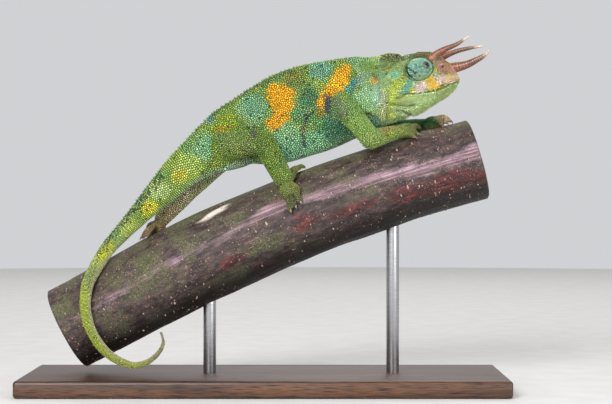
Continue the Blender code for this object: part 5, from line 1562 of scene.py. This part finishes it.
# Painted shade: each cone of the crest darkens towards its root
give(crest, "rim", np.tile(np.append(np.repeat((1.0, 0.9, 0.5, 0.3, 0.1), 10), 0.0), len(cones)))
roots = np.repeat(np.array(cone_places), len(cones[0][0]), axis=0)
chart_u = 0.01 + 0.98 * np.repeat(np.arange(len(cones)), len(cones[0][0])) / len(cones)
chart = np.column_stack([chart_u, 0.5 + 0.0015 * np.clip((vertices - roots)[:, 2], -1, 1)])
layer = crest.data.uv_layers.new(name="OFBake")
corner_points = np.empty(len(crest.data.loops), np.int32)
crest.data.loops.foreach_get("vertex_index", corner_points)
layer.data.foreach_set("uv", chart[corner_points].astype(np.float32).ravel())


# The eyes
# A cone-like turret of skin, closed but for a small round opening with a raised rim, in which the
# wet eyeball shows. Fine scales lie on it in rings round the opening.

GAZE_FORWARD = 52.0
OPENING_RADIUS, OPENING_DEPTH = 1.15, 1.15
RIM_AT, RIM_RISE = 1.6, 0.5
BALL_RADIUS, BALL_SUNK = 1.6, 1.5
TURRET_INSET = 0.2
TURRET_LIME, TURRET_SPECKS = ((421, 78), (8, 4), 0), ((412, 73), (9, 8), 0)   # places on the photograph


def turret_axes(side):
    """The gaze and two directions across it, in the head's own frame."""
    forward = math.radians(GAZE_FORWARD)
    gaze = np.array((math.sin(forward), side * math.cos(forward), 0.0))
    up = np.array((0.0, 0.0, 1.0))
    return up, np.cross(gaze, up), gaze


def turret_surface(side, polar, turn, inset=TURRET_INSET):
    """Points of the turret at angles from the gaze and round it."""
    up, across, gaze = turret_axes(side)
    way = (np.cos(polar)[..., None] * gaze
           + np.sin(polar)[..., None] * (np.cos(turn)[..., None] * up + np.sin(turn)[..., None] * across))
    reach = 1 / np.sqrt(((way / TURRET_RADII) ** 2).sum(axis=-1)) - inset
    away = reach * np.sin(polar)
    front = polar < 1.2
    reach = reach + front * (RIM_RISE + inset) * np.exp(-((away - RIM_AT) / 0.42) ** 2)
    reach = reach - front * OPENING_DEPTH * smoothstep(OPENING_RADIUS + 0.12, OPENING_RADIUS - 0.15, away)
    folds = 0.05 * np.cos(18 * turn) * np.exp(-((away - RIM_AT) / 0.5) ** 2) * front
    return head_point(np.array((EYE_AT[0], side * EYE_AT[1], EYE_AT[2])) + way * (reach + folds)[..., None])


# The turret's hide and its smooth rim, then the wet eyeball: a thin gold iris round a wide pupil
eyeball, tree, shader = finish("wet_eyeball", Roughness=0.04, IOR=1.38, Specular_IOR_Level=0.6,
                                Coat_Weight=1.0)
away_from = put(tree, "Attribute", attribute_name="from_pupil").outputs["Fac"]
iris = put(tree, "ValToRGB", {"Fac": away_from},
           stops=((0.39, "#040303"), (0.42, "#b08c44"), (0.47, "#6a4b28"), (0.53, "#1d140e")))
tree.links.new(iris.outputs[0], shader.inputs["Base Color"])

for side, tag in ((1, "left"), (-1, "right")):
    polar = np.concatenate([np.linspace(0.004, 0.42, 34), np.linspace(0.45, 2.35, 52)])
    turn = -2 * np.pi * np.arange(96) / 96
    rings = turret_surface(side, np.repeat(polar[:, None], 96, axis=1),
                           np.repeat(turn[None], len(polar), axis=0))
    centre = turret_surface(side, np.array(0.0), np.array(0.0))
    back = head_point((EYE_AT[0] - 3.0, side * (EYE_AT[1] - 3.0), EYE_AT[2]))
    vertices, faces = skin_rings(rings, centre, back)
    turret = keep(mesh_piece(f"turret_{tag}", vertices, faces, hide), "skin", f"eye_{tag}")
    flat = np.concatenate([np.repeat(polar, 96), (0.0, 3.0)])
    lid = np.exp(-((np.sin(flat) * 5.6 - 1.75) / 0.5) ** 2) * (flat < 1.2)
    # Painted shade: the turret's hide under its scales is a quarter of its colour, and the skin inside the
    # opening is near black
    ground = np.tile(colour_of("#5f9088") * 0.25, (len(vertices), 1))
    ground = laid_over(ground, "#86b09a", 0.75 * lid)
    give(turret, "marking", laid_over(ground, "#1a1412", (np.sin(flat) * 5.6 < 1.15) & (flat < 1.2)))

    seeds, outs, pitches = [], [], []
    reach, n = 0.42, 0
    while reach < 1.75:
        girth = 2 * np.pi * 5.5 * math.sin(reach)
        pitch_here = 0.58 + 0.30 * float(smoothstep(0.4, 1.0, reach))
        in_ring = round(girth / pitch_here)
        turns = 2 * np.pi * (np.arange(in_ring) + 0.5 * (n % 2)
                             + 0.15 * rng.uniform(-1, 1, in_ring)) / in_ring
        angle = reach + 0.012 * rng.uniform(-1, 1, in_ring)
        here = turret_surface(side, angle, turns)
        step = 0.01
        toward = turret_surface(side, angle + step, turns) - here
        round_it = turret_surface(side, angle, turns + step) - here
        normal = np.cross(toward, round_it)
        from_middle = here - head_point((EYE_AT[0], side * EYE_AT[1], EYE_AT[2]))
        normal *= np.sign((normal * from_middle).sum(axis=1))[:, None]
        seeds.append(here)
        outs.append(normal / np.linalg.norm(normal, axis=1)[:, None])
        pitches.append(np.full(in_ring, pitch_here))
        reach += pitch_here * 0.9 / 5.5
        n += 1
    seeds, outs, pitches = np.vstack(seeds), np.vstack(outs), np.concatenate(pitches)
    shown = eye_distance(in_head(seeds)) < 1.02
    shown &= side * in_head(seeds)[:, 1] > EYE_AT[1] - 2.6
    seeds, outs, pitches = seeds[shown], outs[shown], pitches[shown]
    points, _ = domes(seeds, outs, pitches, rng.uniform(0.8, 1.2, len(seeds)), 0.55)
    local = in_head(seeds)
    seen = photo_place(head_point(local * (1, -side, 1)))
    mottled = cloud(local * (1, side, 1), 1.7, 51) + 0.5 * cloud(local * (1, side, 1), 0.8, 52)
    tone = np.tile(colour_of("#a3dcbc"), (len(seeds), 1))
    tone = laid_over(tone, "#cdf0d0", smoothstep(-0.1, 0.6, mottled) * 0.55)
    tone = laid_over(tone, "#7fbca8", smoothstep(0.1, 0.7, -mottled) * 0.5)
    tone = laid_over(tone, "#c4d39a", 0.6 * in_spot(seen, *TURRET_LIME, 0.5))
    tone *= np.exp(rng.normal(0, 0.2, len(seeds)))[:, None]
    tone[rng.random(len(seeds)) < 0.07 + 0.15 * in_spot(seen, *TURRET_SPECKS, 0.6)] *= 0.3
    chart = np.column_stack([0.5 + 0.07 * (local[:, 0] - EYE_AT[0]), 0.5 + 0.07 * (local[:, 2] - EYE_AT[2])])
    scale_piece(f"turret_scales_{tag}", points, tone, chart, granule)

    up, across, gaze = turret_axes(side)
    lip = (np.array((EYE_AT[0], side * EYE_AT[1], EYE_AT[2]))
           + gaze / math.sqrt(((gaze / TURRET_RADII) ** 2).sum()))
    middle = lip - gaze * BALL_SUNK
    polar = np.linspace(0.02, 1.9, 30)
    ways = (np.cos(polar)[:, None, None] * gaze
            + np.sin(polar)[:, None, None]
              * (np.cos(turn)[None, :, None] * up + np.sin(turn)[None, :, None] * across))
    vertices, faces = skin_rings(head_point(middle + BALL_RADIUS * ways),
                                 head_point(middle + BALL_RADIUS * gaze),
                                 head_point(middle - BALL_RADIUS * 0.4 * gaze))
    ball = keep(mesh_piece(f"eyeball_{tag}_wet", vertices, faces, eyeball), "eye", f"eyeball_{tag}")
    from_pupil = np.concatenate([np.repeat(np.sin(polar) * BALL_RADIUS, 96), (0.0, 2.0)])
    give(ball, "from_pupil", np.clip(from_pupil / 2.0, 0, 1))


# The horns
# Three slender horns of keratin over bone, one on the nose and one over each eye, with close rings
# round them, thick at the root and worn pale and smooth at the tip.

HORNS = {
    "horn_nose": (
        (
            (31.0, 0.0, 0.0),
            (35.0, 0.0, -0.4),
            (40.3, 0.0, -0.4),
            (45.5, 0.0, 0.7),
            (48.8, 0.0, 1.7),
            (51.6, 0.0, 3.4),
        ),
        (2.6, 2.4, 1.85, 1.4, 1.05, 0.45),
    ),
    "horn_brow_right": (
        ((25.0, -4.0, 5.3), (28.5, -4.5, 6.9), (33.2, -5.3, 7.8), (38.8, -6.3, 8.3), (44.8, -7.3, 10.0)),
        (1.9, 1.75, 1.35, 0.95, 0.4),
    ),
    "horn_brow_left": (
        ((24.0, 3.6, 4.8), (29.0, 3.9, 7.5), (34.9, 4.8, 8.9), (40.8, 5.7, 9.2), (47.7, 6.7, 8.8)),
        (1.9, 1.6, 1.2, 0.95, 0.4),
    ),
}
HORN_RING_PITCH = 1.05

# Horn: satin keratin, brown-pink where blood shows through its root, ringed, with painted shade in the ring
# grooves, and a pale tip
keratin, tree, shader = finish("ringed_horn", Roughness=0.36, IOR=1.54, Specular_IOR_Level=0.5)
up_horn = put(tree, "Attribute", attribute_name="up_horn").outputs["Fac"]
groove = put(tree, "Attribute", attribute_name="groove").outputs["Fac"]
place = put(tree, "TexCoord").outputs["Object"]
cloudy = put(tree, "TexNoise", {"Vector": place, "Scale": 700.0, "Detail": 4.0})
body = put(tree, "ValToRGB", {"Fac": up_horn},
           stops=((0.0, "#a66a55"), (0.2, "#86543e"), (0.55, "#6c4935"),
                  (0.82, "#7f6650"), (0.95, "#c4b8a6")))
# Painted shade in the ring grooves
lines = put(tree, "ValToRGB", {"Fac": groove}, stops=((0.0, "#ffffff"), (0.6, "#d8c6bc"), (1.0, "#8a6a60")))
step = put(tree, "Mix", {0: 1.0, 6: body.outputs[0], 7: lines.outputs[0]}, data_type="RGBA",
           blend_type="MULTIPLY").outputs[2]
veins = put(tree, "ValToRGB", {"Fac": cloudy.outputs[0]}, stops=((0.35, "#b59a90"), (0.6, "#ffffff")))
step = put(tree, "Mix", {0: 0.8, 6: step, 7: veins.outputs[0]}, data_type="RGBA",
           blend_type="MULTIPLY").outputs[2]
tree.links.new(step, shader.inputs["Base Color"])
bump = put(tree, "Bump", {"Height": cloudy.outputs[0], "Strength": 0.2, "Distance": 0.0001})
tree.links.new(bump.outputs[0], shader.inputs["Normal"])

for name, (points, radii) in HORNS.items():
    world = head_point(points)
    steps = 150
    rings, first_end, last_end = tube_rings(world, radii, 40, steps, 0.8)
    middles = rings.mean(axis=1)
    travelled = np.concatenate([[0.0], np.cumsum(np.linalg.norm(np.diff(middles, axis=0), axis=1))])
    wave = (travelled / HORN_RING_PITCH + 0.15 * np.sin(travelled * 1.7)) % 1.0
    fading = 1 - smoothstep(0.72, 0.92, travelled / travelled[-1])
    cut = np.exp(-((wave - 0.5) / 0.17) ** 2) * fading
    rings = middles[:, None] + (rings - middles[:, None]) * (1.01 - 0.045 * cut)[:, None, None]
    vertices, faces = skin_rings(rings, first_end, last_end)
    piece = keep(mesh_piece(name.replace("horn_", "ringed_horn_"), vertices, faces, keratin), "horn", name)
    give(piece, "up_horn", np.concatenate([np.repeat(travelled / travelled[-1], 40), (0.0, 1.0)]))
    give(piece, "groove", np.concatenate([np.repeat(cut, 40), (0.0, 0.0)]))


# The claws
# One short, hooked claw of dark keratin at the end of each toe, pressed into the bark.

CLAW_LENGTH, CLAW_RADIUS, CLAW_TIP_RADIUS = 2.3, 0.6, 0.12
claw_horn, tree, shader = finish("claw_horn", Roughness=0.3, IOR=1.54)
up_claw = put(tree, "Attribute", attribute_name="up_claw").outputs["Fac"]
shade = put(tree, "ValToRGB", {"Fac": up_claw}, stops=((0.0, "#8b7a5f"), (0.45, "#54463a"), (1.0, "#1f1a17")))
tree.links.new(shade.outputs[0], shader.inputs["Base Color"])
for name in FEET:
    made, shares = [], []
    for points, radii, out_way in toe_lines(name):
        ahead = points[-1] - points[-2]
        ahead /= np.linalg.norm(ahead)
        level = ahead - out_way * (ahead @ out_way)
        level /= np.linalg.norm(level)
        line = [
            points[-1] + out_way * 0.15,
            points[-1] + level * CLAW_LENGTH * 0.55 + out_way * 0.25,
            points[-1] + level * CLAW_LENGTH - out_way * 0.7,
        ]
        rings, first_end, last_end = tube_rings(line, (CLAW_RADIUS, CLAW_RADIUS * 0.75, CLAW_TIP_RADIUS),
                                                12, 12, 0.8)
        made.append(skin_rings(rings, first_end, last_end))
        shares.append(np.concatenate([np.repeat(np.linspace(0, 1, 12), 12), (0.0, 1.0)]))
    shift = np.cumsum([0] + [len(v) for v, _ in made])
    faces = [[c + s for c in face] for (_, group), s in zip(made, shift) for face in group]
    claws = keep(mesh_piece(f"claws_{name}", np.vstack([v for v, _ in made]), faces, claw_horn), "horn")
    give(claws, "up_claw", np.concatenate(shares))


# The stand's rods
# Two round rods of brushed steel, each let into the base and up into the branch's underside.

ROD_RADIUS = 3.0
ROD_X = {"rear": -26.0, "front": 60.0}
steel, tree, shader = finish("brushed_steel", Metallic=1.0, Roughness=0.32)
place = put(tree, "TexCoord").outputs["Object"]
lines_at = put(tree, "Mapping", {"Vector": place, "Scale": (300.0, 300.0, 9000.0)}).outputs[0]
lines = put(tree, "TexNoise", {"Vector": lines_at, "Scale": 1.0, "Detail": 2.0})
tint = put(tree, "ValToRGB", {"Fac": lines.outputs[0]}, stops=((0.3, "#8e8f92"), (0.7, "#b9babd")))
tree.links.new(tint.outputs[0], shader.inputs["Base Color"])
rough = put(tree, "MapRange", {0: lines.outputs[0], 3: 0.24, 4: 0.42}).outputs[0]
tree.links.new(rough, shader.inputs["Roughness"])
for tag, x in ROD_X.items():
    centre, up, radius = perch_at(x)
    top = centre[2] - radius / up[2] - LOWERED + 2.0
    bottom = BASE_SIZE[2] - 0.5
    bpy.ops.mesh.primitive_cylinder_add(vertices=64, radius=ROD_RADIUS * MM, depth=(top - bottom) * MM,
                                        location=(x * MM, 0.0, (top + bottom) / 2 * MM))
    rod = settle_here(f"steel_rod_{tag}", steel)
    bpy.ops.object.mode_set(mode="EDIT")
    bpy.ops.mesh.select_all(action="DESELECT")
    bpy.ops.object.mode_set(mode="OBJECT")
    for edge in rod.data.edges:
        low = all(rod.data.vertices[v].co.z < (bottom + 0.1) * MM for v in edge.vertices)
        edge.select = low
    bpy.ops.object.mode_set(mode="EDIT")
    bpy.ops.mesh.bevel(offset=0.3 * MM, segments=2, affect="EDGES")
    bpy.ops.object.mode_set(mode="OBJECT")
    bpy.ops.object.shade_smooth_by_angle(angle=math.radians(40))
    rod.select_set(False)
    keep(rod, "rod", f"stand_rod_{tag}")


# The studio
# A plain pale floor, a large soft light from the upper left and front, a fill from the right and
# one behind, and the camera square to the animal's body at the photograph's distance.

FLOOR_RADIUS = 1.5
floor_paint, tree, shader = finish("matt_pale_floor", Roughness=0.85)
speckle = put(tree, "TexNoise", {"Vector": put(tree, "TexCoord").outputs["Object"],
                                "Scale": 60.0, "Detail": 4.0})
paint = put(tree, "ValToRGB", {"Fac": speckle.outputs[0]}, stops=((0.35, "#c9c7c4"), (0.65, "#cecdca")))
tree.links.new(paint.outputs[0], shader.inputs["Base Color"])
bpy.ops.mesh.primitive_circle_add(vertices=96, radius=FLOOR_RADIUS, fill_type="NGON",
                                  location=(0.0, 0.0, 0.0))
floor = settle_here("floor", floor_paint)
floor.select_set(False)

LIGHTS = (
    ("key", (-0.4, -1.05, 0.6), 0.5, 18.0),
    ("fill", (0.85, -0.85, 0.3), 0.7, 9.5),
    ("back", (0.1, 0.9, 1.0), 0.9, 4.5),
)
for name, place, width, power in LIGHTS:
    lamp = bpy.data.lights.new(name, "AREA")
    lamp.shape, lamp.size, lamp.energy = "DISK", width, power
    holder = bpy.data.objects.new(name, lamp)
    holder.location = place
    holder.rotation_euler = (Vector((0.02, 0.0, 0.1)) - Vector(place)).to_track_quat("-Z", "Y").to_euler()
    bpy.context.scene.collection.objects.link(holder)
world = bpy.data.worlds.new("studio")
world.use_nodes = True
world.node_tree.nodes["Background"].inputs[0].default_value = linear("#e6e7ea")
world.node_tree.nodes["Background"].inputs[1].default_value = 0.8
bpy.context.scene.world = world

# Colours are shown as they are painted
bpy.context.scene.view_settings.view_transform = "Standard"

camera = bpy.data.cameras.new("camera")
camera.lens, camera.sensor_width, camera.clip_start = 100.12, 36.0, 0.01
eye = bpy.data.objects.new("camera", camera)
eye.location = (LOOK_AT[0] * MM, -CAMERA_AWAY * MM, (LOOK_AT[1] - LOWERED) * MM)
eye.rotation_euler = (math.radians(90), 0.0, 0.0)
bpy.context.scene.collection.objects.link(eye)
bpy.context.scene.camera = eye
